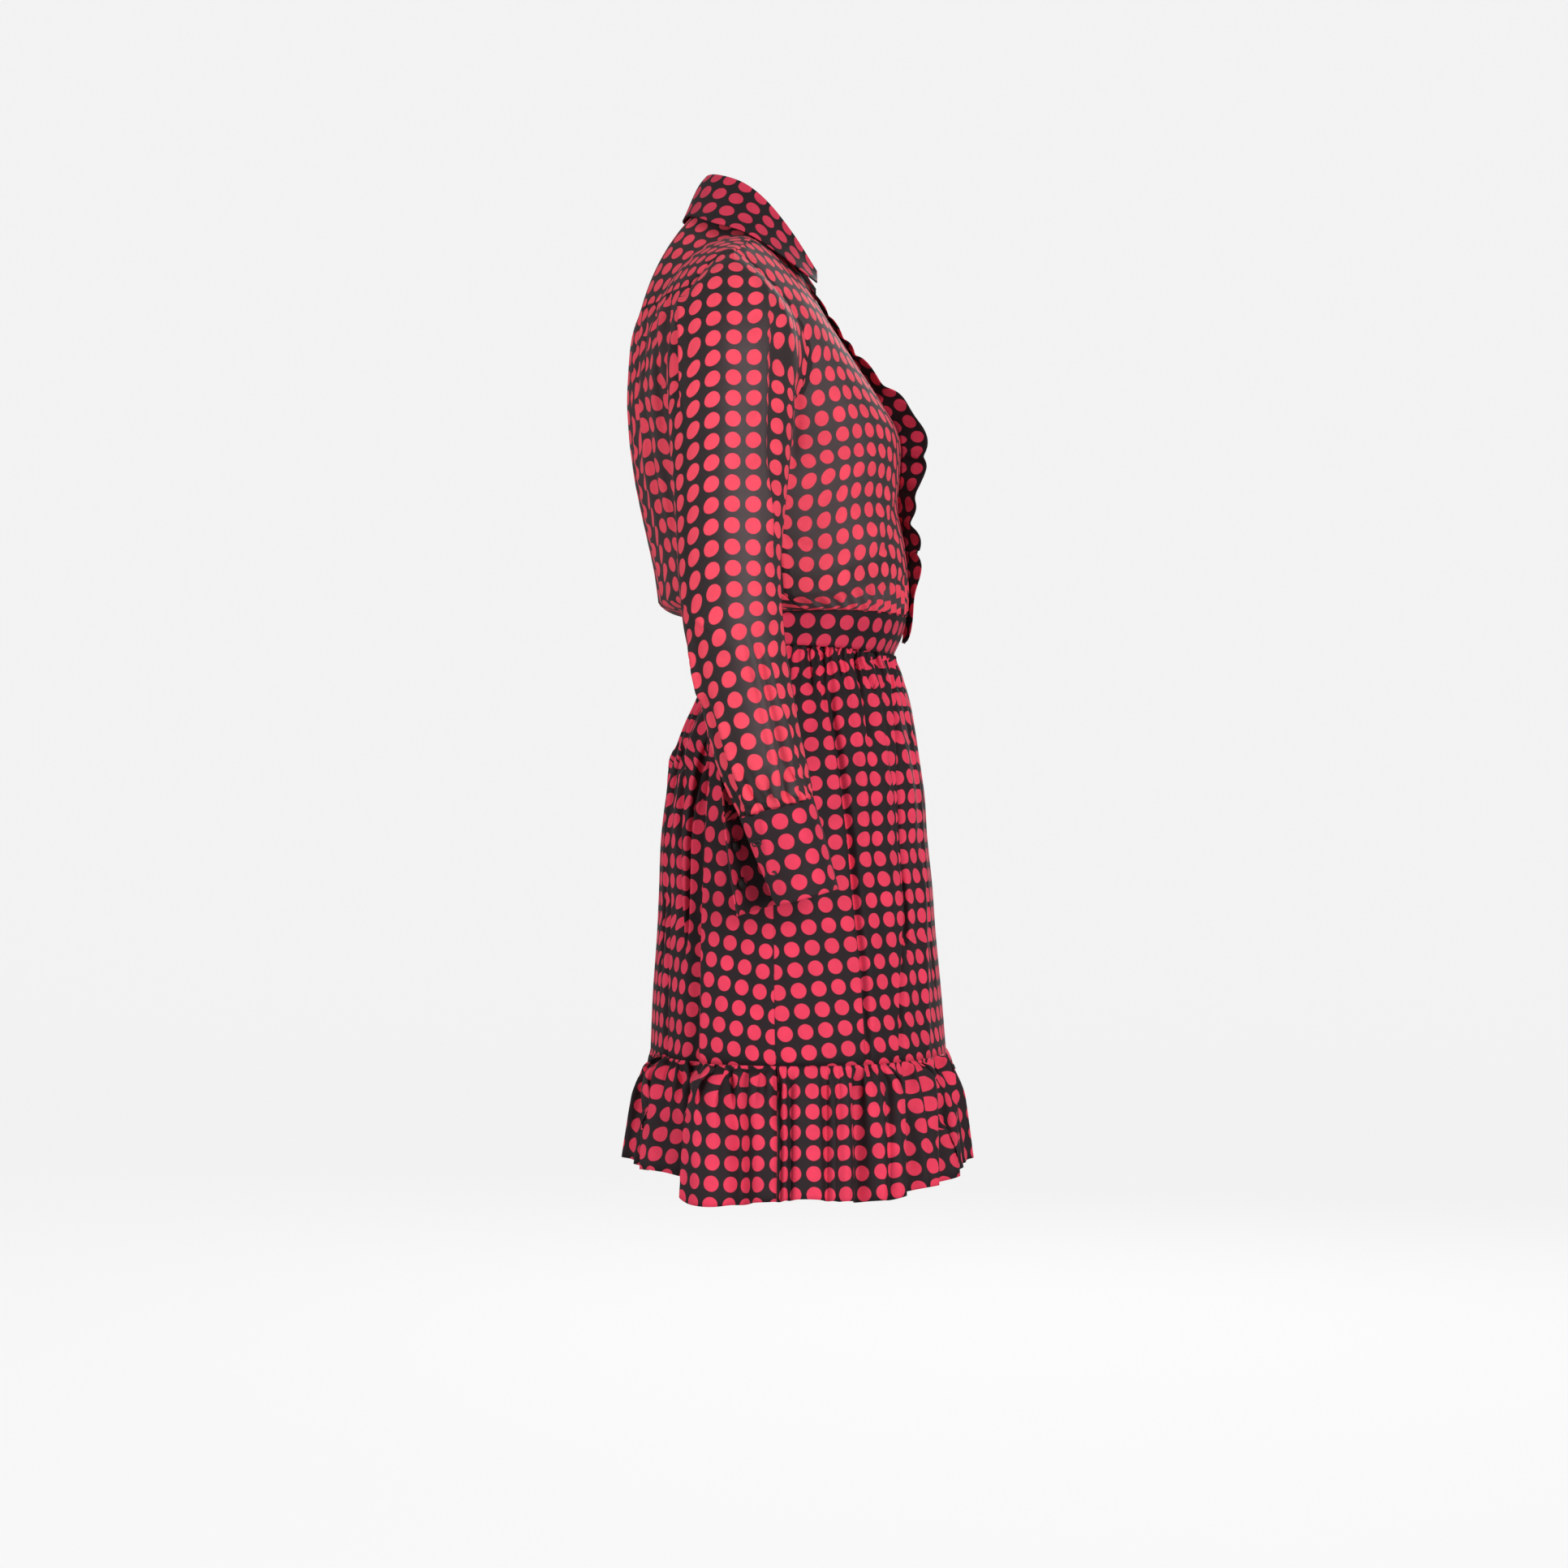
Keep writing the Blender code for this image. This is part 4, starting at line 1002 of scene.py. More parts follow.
# %% From the armhole to the cuff
def armhole_loop(count):
    """The armhole on the wearer's left as a ring: back, shoulder, front, underarm and back again."""
    share = np.linspace(0, 1, 200)
    back_cloth = share * ARMHOLE_BACK_CLOTH
    front_cloth = share * ARMHOLE_FRONT_CLOTH
    behind = bodice(math.pi - armhole_angle(back_cloth, False), back_cloth)
    ahead = bodice(armhole_angle(front_cloth, True), front_cloth)
    whole = np.concatenate([behind[100:0:-1], ahead, behind[:99:-1]])
    steps = np.linalg.norm(np.diff(whole, axis=0), axis=1)
    along = np.concatenate([[0], np.cumsum(steps)])
    quarters = along[[0, 100, 299, -1]]
    at = np.interp(np.linspace(0, 1, count), [0.0, 0.25, 0.75, 1.0], quarters)
    return np.stack([np.interp(at, along, whole[:, k]) for k in range(3)], axis=-1)


def sleeve_rings(angle):
    """The charted rings between the armhole and the cuff, and the middle of each."""
    middle_x = (SLEEVE["outer_x"] + SLEEVE["inner_x"]) / 2
    middle_drop = (SLEEVE["outer_drop"] + SLEEVE["inner_drop"]) / 2
    reach_x = (SLEEVE["outer_x"] - SLEEVE["inner_x"]) / 2
    reach_drop = (SLEEVE["outer_drop"] - SLEEVE["inner_drop"]) / 2
    rings = place(
        middle_x[:, None] + reach_x[:, None] * np.sin(angle),
        SLEEVE["front"][:, None] + SLEEVE["half_depth"][:, None] * np.cos(angle),
        middle_drop[:, None] + reach_drop[:, None] * np.sin(angle),
    )
    return rings, place(middle_x, SLEEVE["front"], middle_drop)


def sleeve_tube(around, angle, rings):
    """The left sleeve from the armhole to the cuff, gathered just above it."""
    loop = armhole_loop(SLEEVE_COLUMNS + 1) + place(ARMHOLE_CLEAR, 0, 0)
    rings = np.concatenate([loop[None], rings, cuff_grid(0.0, around)[None]])
    middles = rings.mean(axis=1)
    steps = np.linalg.norm(np.diff(middles, axis=0), axis=1)
    keys = np.concatenate([[0], np.cumsum(steps)]) / steps.sum()
    down = np.linspace(0, 1, SLEEVE_ROWS)
    points = smooth_through(keys, rings, down)
    away = unit(points - smooth_through(keys, middles, down)[:, None])
    down = down[:, None]
    gather = ease((down - 0.86) / 0.14) * (0.25 + 0.75 * ease((1 - down) / 0.03))
    gather = CUFF_GATHER_DEPTH * gather * np.sin(uneven(angle, CUFF_GATHERS, 0.7))
    return points + away * gather[..., None]


print("armhole, shoulder point:", armhole_loop(5)[1].round(3))

# %% [markdown]
# The grain hangs straight down the outer side of the arm, so the rows of dots stay square to the
# arm. Each point's row is found where a plane square to the arm's middle line passes through it.

# %% Rows square to the arm
LINE_POINTS, LINE_KEYS_APART, LINE_PAST_WRIST, LINE_ABOVE = 400, 20, 0.04, 0.2


def levels_along(points, arm):
    """How far down the arm's middle line the plane square to it through each point lies."""
    along = travelled(arm[:, None], 0)[:, 0]
    fine = np.linspace(0, along[-1] + LINE_PAST_WRIST, LINE_POINTS)
    line = np.stack([np.interp(fine, along, arm[:, k]) for k in range(3)], axis=-1)
    past = fine > along[-1]
    line[past] += (fine[past] - along[-1])[:, None] * unit(arm[-1] - arm[-2])
    marks = slice(None, None, LINE_KEYS_APART)
    heading = unit(smooth_through(fine[marks], np.gradient(line, axis=0)[marks], fine))
    ahead = np.einsum("ijk,lk->ijl", points, heading) - np.einsum("lk,lk->l", line, heading)
    passed = np.argmax(ahead < 0, axis=-1)
    before = np.take_along_axis(ahead, passed[..., None] - 1, -1)[..., 0]
    after = np.take_along_axis(ahead, passed[..., None], -1)[..., 0]
    return fine[passed] - (fine[1] - fine[0]) * after / (after - before)


print("rows from", LINE_POINTS, "planes")

# %% [markdown]
# The folds of the sleeve follow from how it is worn. One long fold falls from the shoulder where the
# head's fullness ends, and slanting creases cross the forearm where the elbow bends.

# %% The sleeves
SLEEVE_FIRST_DOT = (-2.9, -3.2)
SLEEVE_EASE, SLEEVE_GRAIN_DROOP, FOREARM_TWIST = 0.98, 0.014, 0.010
INNER_SIDE_START, INNER_SIDE_EASE, ELBOW_ROW = 1.35, 0.75, 100
SLEEVE_FOLDS = [
    ([(14, 60), (10, 96), (9, 125), (8, 163), (7, 219), (9, 241), (11, 263), (13, 288), (16, 321)], (8, 4), -8.5, 0),
    ([(24, 74), (21, 129), (18, 163), (16, 197), (15, 228), (15, 266)], (6, 11), 3.5, 0),
    ([(-58, 50), (-59, 96), (-58, 140), (-56, 194)], 3.6, -5, 0),
    ([(-67, 52), (-66, 96), (-65, 129), (-63, 185)], 6, 4, 0),
    ([(-9, 40), (-10, 96), (-12, 185), (-12, 259), (-9, 334)], (12, 9), 2.4, 0),
    ([(-9, 350), (2, 399), (7, 421), (12, 447), (17, 472), (25, 545)], 3.2, -7, 0),
    ([(6, 366), (15, 410), (20, 432), (25, 454), (30, 479), (40, 545)], 3.2, -7, 0),
    ([(20, 420), (31, 463), (36, 481), (48, 545)], 3.0, -5, 0),
    ([(-2, 392), (9, 436), (16, 487)], 4, 3, 0),
    ([(12, 405), (22, 454), (27, 487)], 3.5, 3, 0),
    ([(-51, 366), (-46, 399), (-39, 431)], 3.4, -5, 0),
    ([(-30, 426), (-18, 467), (-6, 498), (8, 545)], 4, -5, 0),
    ([(-42, 414), (-33, 441), (-22, 472)], 5, 3, 0),
    ([(-60, 330), (-53, 348), (-40, 361), (-27, 368)], 3, -2, 0),
]


def sleeve_panel():
    """The left sleeve, its cut, and the painted light that shows through it."""
    around = np.linspace(0, 1, SLEEVE_COLUMNS + 1)
    angle = math.pi - 2 * math.pi * around
    rings, arm = sleeve_rings(angle)
    points = sleeve_tube(around, angle, rings)
    wrist = cuff_grid(0.0, around).mean(axis=0)[None]
    level = levels_along(points, np.concatenate([arm[:1] + place(0, 0, -LINE_ABOVE), arm, wrist]))
    outer = SLEEVE_COLUMNS // 4
    outer_length = travelled(points[:, outer:outer + 1], 0)[:, 0] * SLEEVE_EASE
    level = np.interp(level, level[:, outer], outer_length)
    inner_level = inner_side(angle, level, travelled(points, 0))
    points = folded(points, SLEEVE_FOLDS)
    along = along_levels(points, level, outer)
    level = level + inner_level
    # Painted light: a lighter band down the outer side of the arm, and painted shade towards the back of the sleeve.
    light_through = 0.30 + 0.70 * np.exp(-(((along - 0.012) / 0.022) ** 2)) * ease((level - 0.06) / 0.06)
    light_through = light_through * (0.55 + 0.45 * ease((0.66 - np.abs(angle) / math.pi) / 0.3))
    droop = SLEEVE_GRAIN_DROOP * ease((-along - 0.004) / 0.055)
    along = along - FOREARM_TWIST * ease((level - 0.350) / 0.120)
    cut = np.stack([along, level - droop], axis=-1)
    return points, cut, light_through * light_past_seams(np.stack([along, level], axis=-1), ("top", "bottom"))


def inner_side(angle, level, lengths):
    """What to add to the rows above the elbow, so that they follow the cloth on the inner side."""
    from_outer = np.arccos(np.cos(angle - math.pi / 2))
    share = ease((from_outer - INNER_SIDE_START) / INNER_SIDE_EASE)
    share = share * (np.arange(SLEEVE_ROWS) < ELBOW_ROW)[:, None]
    return (level[ELBOW_ROW] + lengths - lengths[ELBOW_ROW] - level) * share


points, cut, light_through = sleeve_panel()
both_pieces("sleeve", points, cut, lit_sheer_crepe, SLEEVE_FIRST_DOT, light_through, closed=True)

# %% [markdown]
# A cuff is a straight band, so its rows lie at even heights and its columns are counted from the
# outer side of the arm.

# %% The cuffs
CUFF_FIRST_DOT, CUFF_HEIGHT, CUFF_WALL = (0.4, -5.4), 0.0800, 0.0011
CUFF_FOLDS = [
    ([(8, 495), (12, 540), (20, 600)], 3.0, -1.6, 0),
    ([(30, 495), (34, 540), (40, 600)], 5.0, 1.2, 0),
]


def cuff_panel(columns=121, rows=32):
    """The left cuff and its cut, from the overlap round to the underlap."""
    share, around = np.linspace(0, 1, rows)[:, None], np.linspace(0, 1, columns)[None, :]
    points = folded(cuff_grid(share, around), CUFF_FOLDS)
    along = travelled(points, 1)
    outer = np.array([
        np.interp(-math.pi / 2, -angles, lengths) for angles, lengths in zip(cuff_angle(share, around), along)
    ])
    return points, np.stack([along - outer[:, None], CUFF_HEIGHT * share + 0 * around], axis=-1)


points, cut = cuff_panel()
both_pieces("cuff", points, cut, skirt_crepe, CUFF_FIRST_DOT, 0.6, CUFF_WALL)

# %% [markdown]
# ## The waistband and the skirt
#
# The waistband is a straight strip, folded double and closed to a ring. It lies level at the top and
# drops a little towards the front at its lower edge. Its columns are counted along its middle row,
# so they stay square to it.

# %% The waistband
WAIST_FIRST_DOT, WAIST_WALL = (-1.1, -4.6), 0.0013


def waistband(columns=361, rows=11):
    """The band round the waist and its cut, from the centre front all the way round."""
    angle = np.linspace(0, 2 * math.pi, columns)[None, :]
    top = WAIST_TOP_DROP + WAIST_TOP_TILT * np.cos(angle)
    bottom = WAIST_BOTTOM_DROP + WAIST_BOTTOM_TILT * np.cos(angle)
    drop = top + (bottom - top) * np.linspace(0, 1, rows)[:, None]
    x, ahead = ring(SKIRT, SKIRT_SQUARENESS, angle, drop)
    points = place(x, ahead, drop)
    middle = travelled(points[rows // 2:rows // 2 + 1], 1)
    return points, np.stack([middle + 0 * drop, travelled(points, 0)], axis=-1)


points, cut = waistband()
cloth_piece(
    "waistband", points, cut, shaded_doubled_crepe, WAIST_FIRST_DOT, 0.2, WAIST_WALL, closed=True,
)

# %% [markdown]
# The skirt's two panels are cut as sectors of a cone, so the rows of dots droop towards the side
# seams and meet there in a chevron. The long folds fall from the hip: one deep fold behind the arm,
# whose crest leans back over the cloth, and narrow ones across the front.

# %% Folds of the skirt
SKIRT_BOTTOM_DROP = 0.733
SIDE_SEAM = math.radians(96)
SKIRT_FLARE = 0.162
SKIRT_RADIUS = 1.35
SKIRT_COLUMNS = 401
SKIRT_FRONT_FIRST_DOT = (-4.9, 7.7)
SKIRT_BACK_FIRST_DOT = (1.5, 8.3)
SKIRT_FOLDS = [
    ([(-31, 412), (-30, 476), (-33, 507), (-35, 540), (-38, 612), (-39, 683), (-41, 800)], (4.5, 42), 15, -0.9),
    ([(-43, 412), (-43, 476), (-46, 507), (-47, 540), (-50, 612), (-51, 683), (-53, 800)], (9, 4), -9, 0),
    ([(-63, 436), (-64, 492), (-66, 538), (-65, 589), (-62, 650)], 3, -5, 0),
    ([(-74, 575), (-77, 660), (-78, 763)], 3, -5, 0),
    ([(-73, 436), (-75, 503), (-79, 589)], 6, 3, 0),
    ([
        (63, 363), (69, 432), (75, 467), (80, 505), (85, 543),
        (88, 581), (92, 617), (96, 650), (99, 711), (100, 766),
    ], 2.8, -8, 0),
    ([(85, 363), (92, 395), (97, 414), (100, 431), (103, 465)], 2.8, -6.5, 0),
    ([
        (115, 363), (122, 392), (127, 432), (128, 467), (130, 524), (133, 562),
        (133, 598), (132, 635), (130, 673), (129, 711), (128, 766),
    ], 2.8, -8, 0),
    ([(48, 363), (49, 383), (51, 414)], 2.6, -5, 0),
    ([(59, 363), (61, 392), (63, 432)], 3.0, -5, 0),
    ([(74, 363), (75, 383), (77, 401)], 2.2, -4, 0),
    ([(102, 363), (109, 388), (115, 414)], 2.4, -4.5, 0),
    ([(80, 363), (85, 410), (93, 467), (99, 589)], (5, 6), 3, 0),
    ([(97, 363), (107, 405), (113, 459), (117, 565), (120, 683)], 7, 2.5, 0),
    ([(148, 542), (150, 636), (152, 754)], 9, 3, 0),
]
SKIRT_CENTRE_FOLDS = both_sides([
    ([(98, 360), (108, 430), (120, 560), (126, 660)], 3.4, -7.0, 0),
    ([(78, 360), (86, 440), (94, 560)], 8.0, 3.0, 0),
    ([(58, 360), (62, 430), (70, 560), (74, 690)], 3.2, -7.0, 0),
    ([(36, 360), (40, 430), (46, 520)], 3.4, -5.5, 0),
    ([(12, 360), (14, 460), (18, 600)], 3.8, -6.0, 0),
])
print("skirt folds:", len(SKIRT_FOLDS), "and", len(SKIRT_CENTRE_FOLDS))

# %% [markdown]
# Under the waistband the skirt is gathered. Fine puckers die away within 20 mm, larger gathers
# within 80 mm, and below them soft folds run on to the flounce.

# %% The skirt
SKIRT_WAVES = table("count seed depth", [
    (34, 0.9, 0.0013),
    (82, 2.9, 0.0023),
    (15, 2.1, 0.0007),
])


def half_round(is_front, columns):
    """Angles across the front or the back, from side seam to side seam."""
    if is_front:
        return np.linspace(-SIDE_SEAM, SIDE_SEAM, columns)[None, :]
    return np.linspace(SIDE_SEAM, 2 * math.pi - SIDE_SEAM, columns)[None, :]


def skirt_surface(angle, drop, top):
    """Points of the skirt: gathers below the waistband that run out into soft folds."""
    fallen = drop - top
    shares = (
        np.exp(-fallen / 0.075) * (0.45 + 0.55 * ease(fallen / 0.01)),
        np.exp(-fallen / 0.017),
        ease(fallen / 0.06) * (1 - 0.45 * ease((drop - 0.6) / 0.133)),
    )
    waves = zip(shares, SKIRT_WAVES["count"], SKIRT_WAVES["seed"], SKIRT_WAVES["depth"])
    x, ahead = ring(SKIRT, SKIRT_SQUARENESS, angle, drop)
    return pushed(
        place(x, ahead, drop),
        sum(depth * share * np.sin(uneven(angle, count, seed)) for share, count, seed, depth in waves),
    )


def skirt_panel(is_front, columns=SKIRT_COLUMNS, rows=82):
    """The front or the back of the skirt and its cut, from the waistband to the flounce."""
    angle = half_round(is_front, columns)
    top = WAIST_BOTTOM_DROP + WAIST_BOTTOM_TILT * np.cos(angle)
    drop = top + (SKIRT_BOTTOM_DROP - top) * (np.linspace(0, 1, rows) ** 1.2)[:, None]
    points = skirt_surface(angle, drop, top)
    x, ahead = ring(SKIRT, SKIRT_SQUARENESS, angle, drop)
    down = travelled(place(x, ahead, drop), 0)
    along = across_grain(points, down, middle=columns // 2)
    edge = along[:, -1:]
    pin = int(columns * (0.14 if is_front else 0.92))
    pinned = along[:, pin:pin + 1]
    points = folded(folded(points, SKIRT_CENTRE_FOLDS, "front"), SKIRT_FOLDS)
    along = across_grain(points, down, pinned, pin)
    light_through = 0.3 * light_past_seams(np.stack([along, down], axis=-1), ("top", "bottom"))
    return points, cone_cut(along, edge, down), light_through


def cone_cut(along, edge, down):
    """The cut as a sector of a cone, whose rows curve down to the side seams."""
    sector = SKIRT_FLARE * along / edge
    radius = SKIRT_RADIUS + down
    return np.stack([radius * np.sin(sector), radius * np.cos(sector) - SKIRT_RADIUS], axis=-1)


skirt_edges = {}
for is_front, node, first_dot in (
    (True, "skirt_front", SKIRT_FRONT_FIRST_DOT), (False, "skirt_back", SKIRT_BACK_FIRST_DOT),
):
    points, cut, light_through = skirt_panel(is_front)
    cloth_piece(node, points, cut, skirt_crepe, first_dot, light_through)
    skirt_edges[is_front] = points[-1]

# %% [markdown]
# ## The flounce
#
# The flounce is a straight strip, half as long again as the skirt's edge and gathered to it. It
# spreads as it falls, and its hem steps down where a deep fold brings more cloth to the front. Its
# folds follow on from those of the skirt.

# %% Folds of the flounce
FLOUNCE = table("share out", [(0.00, 0.0000), (0.10, 0.0040), (0.40, 0.0085), (1.00, 0.0150)])
FLOUNCE_SIDE_SPREAD = 0.016
HEM_WIDTH = 0.005
HEM = table("degrees height", [
    (0, 0.094),
    (20, 0.098),
    (38, 0.105),
    (54, 0.108),
    (62, 0.1125),
    (75, 0.1120),
    (90, 0.1095),
    (102, 0.1130),
    (122, 0.1140),
    (128, 0.1020),
    (150, 0.0965),
    (180, 0.0950),
])
FLOUNCE_FRONT_FIRST_DOT = (4.1, 4.7)
FLOUNCE_BACK_FIRST_DOT = (8.3, -3.5)
FLOUNCE_FOLDS = [
    ([(-41, 690), (-44, 761), (-51, 782), (-54, 825), (-57, 905)], (4.5, 34), 19, -0.9),
    ([(-56, 690), (-60, 768), (-66, 792), (-68, 825), (-70, 905)], (12, 5), -14, 0),
    ([(-94, 690), (-95, 778), (-95, 825), (-95, 905)], (4, 16), 9, -0.8),
    ([(-98, 690), (-99, 778), (-100, 825), (-100, 905)], (8, 4), -8, 0),
    ([(-78, 690), (-80, 778), (-81, 905)], 6, 5, 0),
    ([(-7, 690), (-5, 801), (-5, 905)], (3, 7), -10, 0),
    ([(-22, 690), (-22, 801), (-23, 905)], 10, 4, 0),
    ([(21, 690), (24, 801), (23, 905)], 2.8, -8, 0),
    ([(33, 690), (33, 801), (32, 905)], 2.8, -8, 0),
    ([(8, 690), (10, 905)], 7, 3, 0),
    ([(62, 690), (63, 801), (63, 905)], 3.5, -7, 0),
    ([(73, 690), (74, 801), (73, 905)], 3.0, -4, 0),
    ([(90, 690), (92, 778), (93, 825), (94, 905)], (7, 5), -12, 0),
    ([(80, 690), (82, 905)], 8, 4, 0),
    ([(110, 690), (111, 801), (110, 905)], 2.4, -7, 0),
    ([(126, 690), (127, 801), (128, 905)], (16, 4), 9, 0.9),
    ([(132, 690), (133, 801), (133, 905)], (4, 8), -8, 0),
    ([(156, 690), (157, 801), (155, 905)], (14, 4), 9, 0.9),
    ([(161, 690), (162, 801), (161, 905)], (4, 8), -9, 0),
    ([(144, 690), (145, 905)], 3.0, -3, 0),
    ([(174, 690), (179, 905)], (12, 4), 7, 0.8),
]
FLOUNCE_CENTRE_FOLDS = both_sides([
    ([(112, 738), (114, 800), (116, 905)], 4.0, -9.0, 0),
    ([(90, 738), (92, 905)], 8.0, 4.0, 0),
    ([(72, 738), (73, 800), (74, 905)], 3.6, -8.0, 0),
    ([(48, 738), (48, 905)], (10, 4), 8.0, 0.9),
    ([(22, 738), (22, 905)], 3.4, -7.0, 0),
])
FLOUNCE_GATHERS, FLOUNCE_GATHER_DEPTH, FLOUNCE_WAVES = 83, 0.0026, 21
print("flounce folds:", len(FLOUNCE_FOLDS), "and", len(FLOUNCE_CENTRE_FOLDS))

# %% [markdown]
# The strip is laid smooth first, so that its rows can be measured. Then it is gathered, folded and
# joined to the folded edge of the skirt. A band of 5 mm along the hem lies double.

# %% The flounce
def flounce_smooth(angle, share):
    """The strip before it is gathered: out from the skirt's edge and down to the stepped hem."""
    degrees = np.degrees(np.arccos(np.clip(np.cos(angle), -1, 1)))
    height = smooth_through(HEM["degrees"], HEM["height"], degrees, level_start=True)
    out = smooth_through(FLOUNCE["share"], FLOUNCE["out"], share)
    out = out + FLOUNCE_SIDE_SPREAD * np.abs(np.sin(angle)) * share
    x, ahead = ring(SKIRT, SKIRT_SQUARENESS, angle, np.full(angle.shape, SKIRT_BOTTOM_DROP))
    return pushed(place(x, ahead, SKIRT_BOTTOM_DROP + share * height), out)


def flounce_panel(is_front, columns=501, rows=34):
    """The front or the back of the gathered strip along the hem, and its cut."""
    angle = half_round(is_front, columns)
    share = (np.linspace(0, 1, rows) ** 1.25)[:, None]
    wave = (0.0004 + 0.0014 * share) * np.sin(uneven(angle, FLOUNCE_WAVES, 1.7))
    fine = np.exp(-share / 0.15) * (0.4 + 0.6 * ease(share / 0.04))
    wave = wave + FLOUNCE_GATHER_DEPTH * fine * np.sin(uneven(angle, FLOUNCE_GATHERS, 0.2))
    points = flounce_smooth(angle, share)
    down = travelled(points, 0)
    points = pushed(points, wave)
    points = folded(folded(points, FLOUNCE_CENTRE_FOLDS, "front"), FLOUNCE_FOLDS)
    sewn_to = evenly(skirt_edges[is_front], columns)
    points = points + (sewn_to - points[:1]) * (1 - ease(share / 0.18))[..., None]
    along = travelled(points[-1:], 1)
    pin = int(columns * (0.1 if is_front else 0.92))
    hem = along - along[:, pin, None] + (0.5 - pin / columns) * -along[:, -1:]
    cut = np.stack([hem + 0 * share, down], axis=-1)
    # The doubled hem and the top seam let less painted light show through.
    hem_fold = 1 - 0.7 * ease((HEM_WIDTH - (down[-1:] - down)) / 0.001)
    return points, cut, 0.45 * hem_fold * light_past_seams(cut, ("top",))


def evenly(line, count):
    """So many points along a line of points."""
    places = np.linspace(0, 1, count)
    return np.stack([np.interp(places, np.linspace(0, 1, len(line)), line[:, k]) for k in range(3)], axis=-1)


for is_front, node, first_dot in (
    (True, "flounce_front", FLOUNCE_FRONT_FIRST_DOT), (False, "flounce_back", FLOUNCE_BACK_FIRST_DOT),
):
    points, cut, light_through = flounce_panel(is_front)
    cloth_piece(node, points, cut, skirt_crepe, first_dot, light_through)

# %% [markdown]
# ## The collar and the ruffles
#
# The collar is sewn to the neckline, stands up, rolls over and lies down again, and its points reach
# down the V. The table charts its fold line and its outer edge from the centre back to the points.
# A curve through five lines makes the roll: the foot, three round the fold, and the edge.

# %% The collar
COLLAR = table("share fold_x fold_front fold_drop edge_x edge_front edge_drop", [
    (0.00, 0.000, -0.0415, -0.0600, 0.000, -0.0650, -0.0190),
    (0.20, 0.029, -0.0310, -0.0560, 0.038, -0.0570, -0.0180),
    (0.40, 0.049, -0.0090, -0.0450, 0.078, -0.0360, -0.0050),
    (0.60, 0.055, 0.0120, -0.0270, 0.096, -0.0080, 0.0065),
    (0.80, 0.054, 0.0350, 0.0020, 0.094, 0.0230, 0.0260),
    (1.00, 0.049, 0.0555, 0.0340, 0.075, 0.0555, 0.0480),
])
COLLAR_END_CLOTH, COLLAR_ROLL, COLLAR_LIFT, COLLAR_WALL = 0.078, 0.0026, 0.0009, 0.0011
COLLAR_FOLD_ROW = 25
COLLAR_FIRST_DOT = (1.5, 2.9)


def neck_edge(shares):
    """The left half of the edge that the collar is sewn to, from the centre back to the front."""
    x = NECK_SIDE_X * np.sin(np.linspace(0, math.pi / 2, 40))
    behind = over_shoulder(angle_at(x) / (math.pi / 2), yoke_top_cloth(x))
    cloth = np.linspace(YOKE_OVER, COLLAR_END_CLOTH, 40)
    whole = np.concatenate([behind, bodice(neck_angle(cloth), cloth)])
    steps = np.linalg.norm(np.diff(whole, axis=0), axis=1)
    along = np.concatenate([[0], np.cumsum(steps)]) / steps.sum()
    return np.stack([np.interp(shares, along, whole[:, k]) for k in range(3)], axis=-1)


def collar_grid(columns, rows):
    """The collar: up from the neckline, over the fold and down to its outer edge."""
    across = np.linspace(1, -1, columns)
    share, side = np.abs(across), np.sign(across)
    read = {
        name: smooth_through(COLLAR["share"], COLLAR[name], share, level_start=not name.endswith("_x"))
        for name in COLLAR
    }
    foot = neck_edge(share) * np.stack([side, np.ones(columns), np.ones(columns)], axis=-1)
    fold = place(side * read["fold_x"], read["fold_front"], read["fold_drop"])
    edge = place(side * read["edge_x"], read["edge_front"], read["edge_drop"])
    flat = np.array([1.0, 1.0, 0.0])
    out = unit((edge - fold) * flat)
    foot = foot + place(0, 0, -COLLAR_LIFT) - unit(foot * flat) * COLLAR_LIFT
    lower = place(0, 0, COLLAR_ROLL)
    controls = np.array([
        foot,
        fold - out * COLLAR_ROLL * 0.6 + lower,
        fold + out * COLLAR_ROLL * 0.5,
        fold + out * COLLAR_ROLL * 1.6 + lower,
        edge,
    ])
    keys = np.array([0.0, 0.36, 0.42, 0.48, 1.0])
    down = np.interp(np.linspace(0, 1, rows), [0, 0.3, 0.45, 0.6, 1], keys)
    return smooth_through(keys, controls, down)[:, ::-1]


points = collar_grid(161, 56)
down = travelled(points, 0)
down = down - down[COLLAR_FOLD_ROW]
fold = slice(COLLAR_FOLD_ROW, COLLAR_FOLD_ROW + 1)
along = across_grain(points[fold], down[fold], middle=80)
cut = np.stack([along + 0 * down, down], axis=-1)
cloth_piece("collar", points, cut, shaded_doubled_crepe, COLLAR_FIRST_DOT, 0.35, COLLAR_WALL)

# %% [markdown]
# Each front edge carries a narrow ruffle from the collar to the waistband. A ruffle is a straight
# strip gathered along one side, so its free edge is longer and waves. The table charts, at each
# cloth distance, how far it stands out, how far it leans over the front, and how deep it waves.

# %% Sizes of the ruffles
RUFFLE = table("cloth stand lean wave", [
    (0.090, 0.0025, 0.010, 0.0006),
    (0.110, 0.0030, 0.014, 0.0008),
    (0.140, 0.0034, 0.017, 0.0010),
    (0.167, 0.0040, 0.018, 0.0012),
    (0.186, 0.0060, 0.019, 0.0018),
    (0.210, 0.0112, 0.020, 0.0026),
    (0.240, 0.0208, 0.016, 0.0032),
    (0.270, 0.0215, 0.017, 0.0032),
    (0.295, 0.0178, 0.022, 0.0032),
    (0.320, 0.0112, 0.025, 0.0030),
    (0.345, 0.0118, 0.023, 0.0030),
    (0.365, 0.0112, 0.019, 0.0026),
    (0.385, 0.0066, 0.015, 0.0020),
    (0.400, 0.0022, 0.012, 0.0010),
])
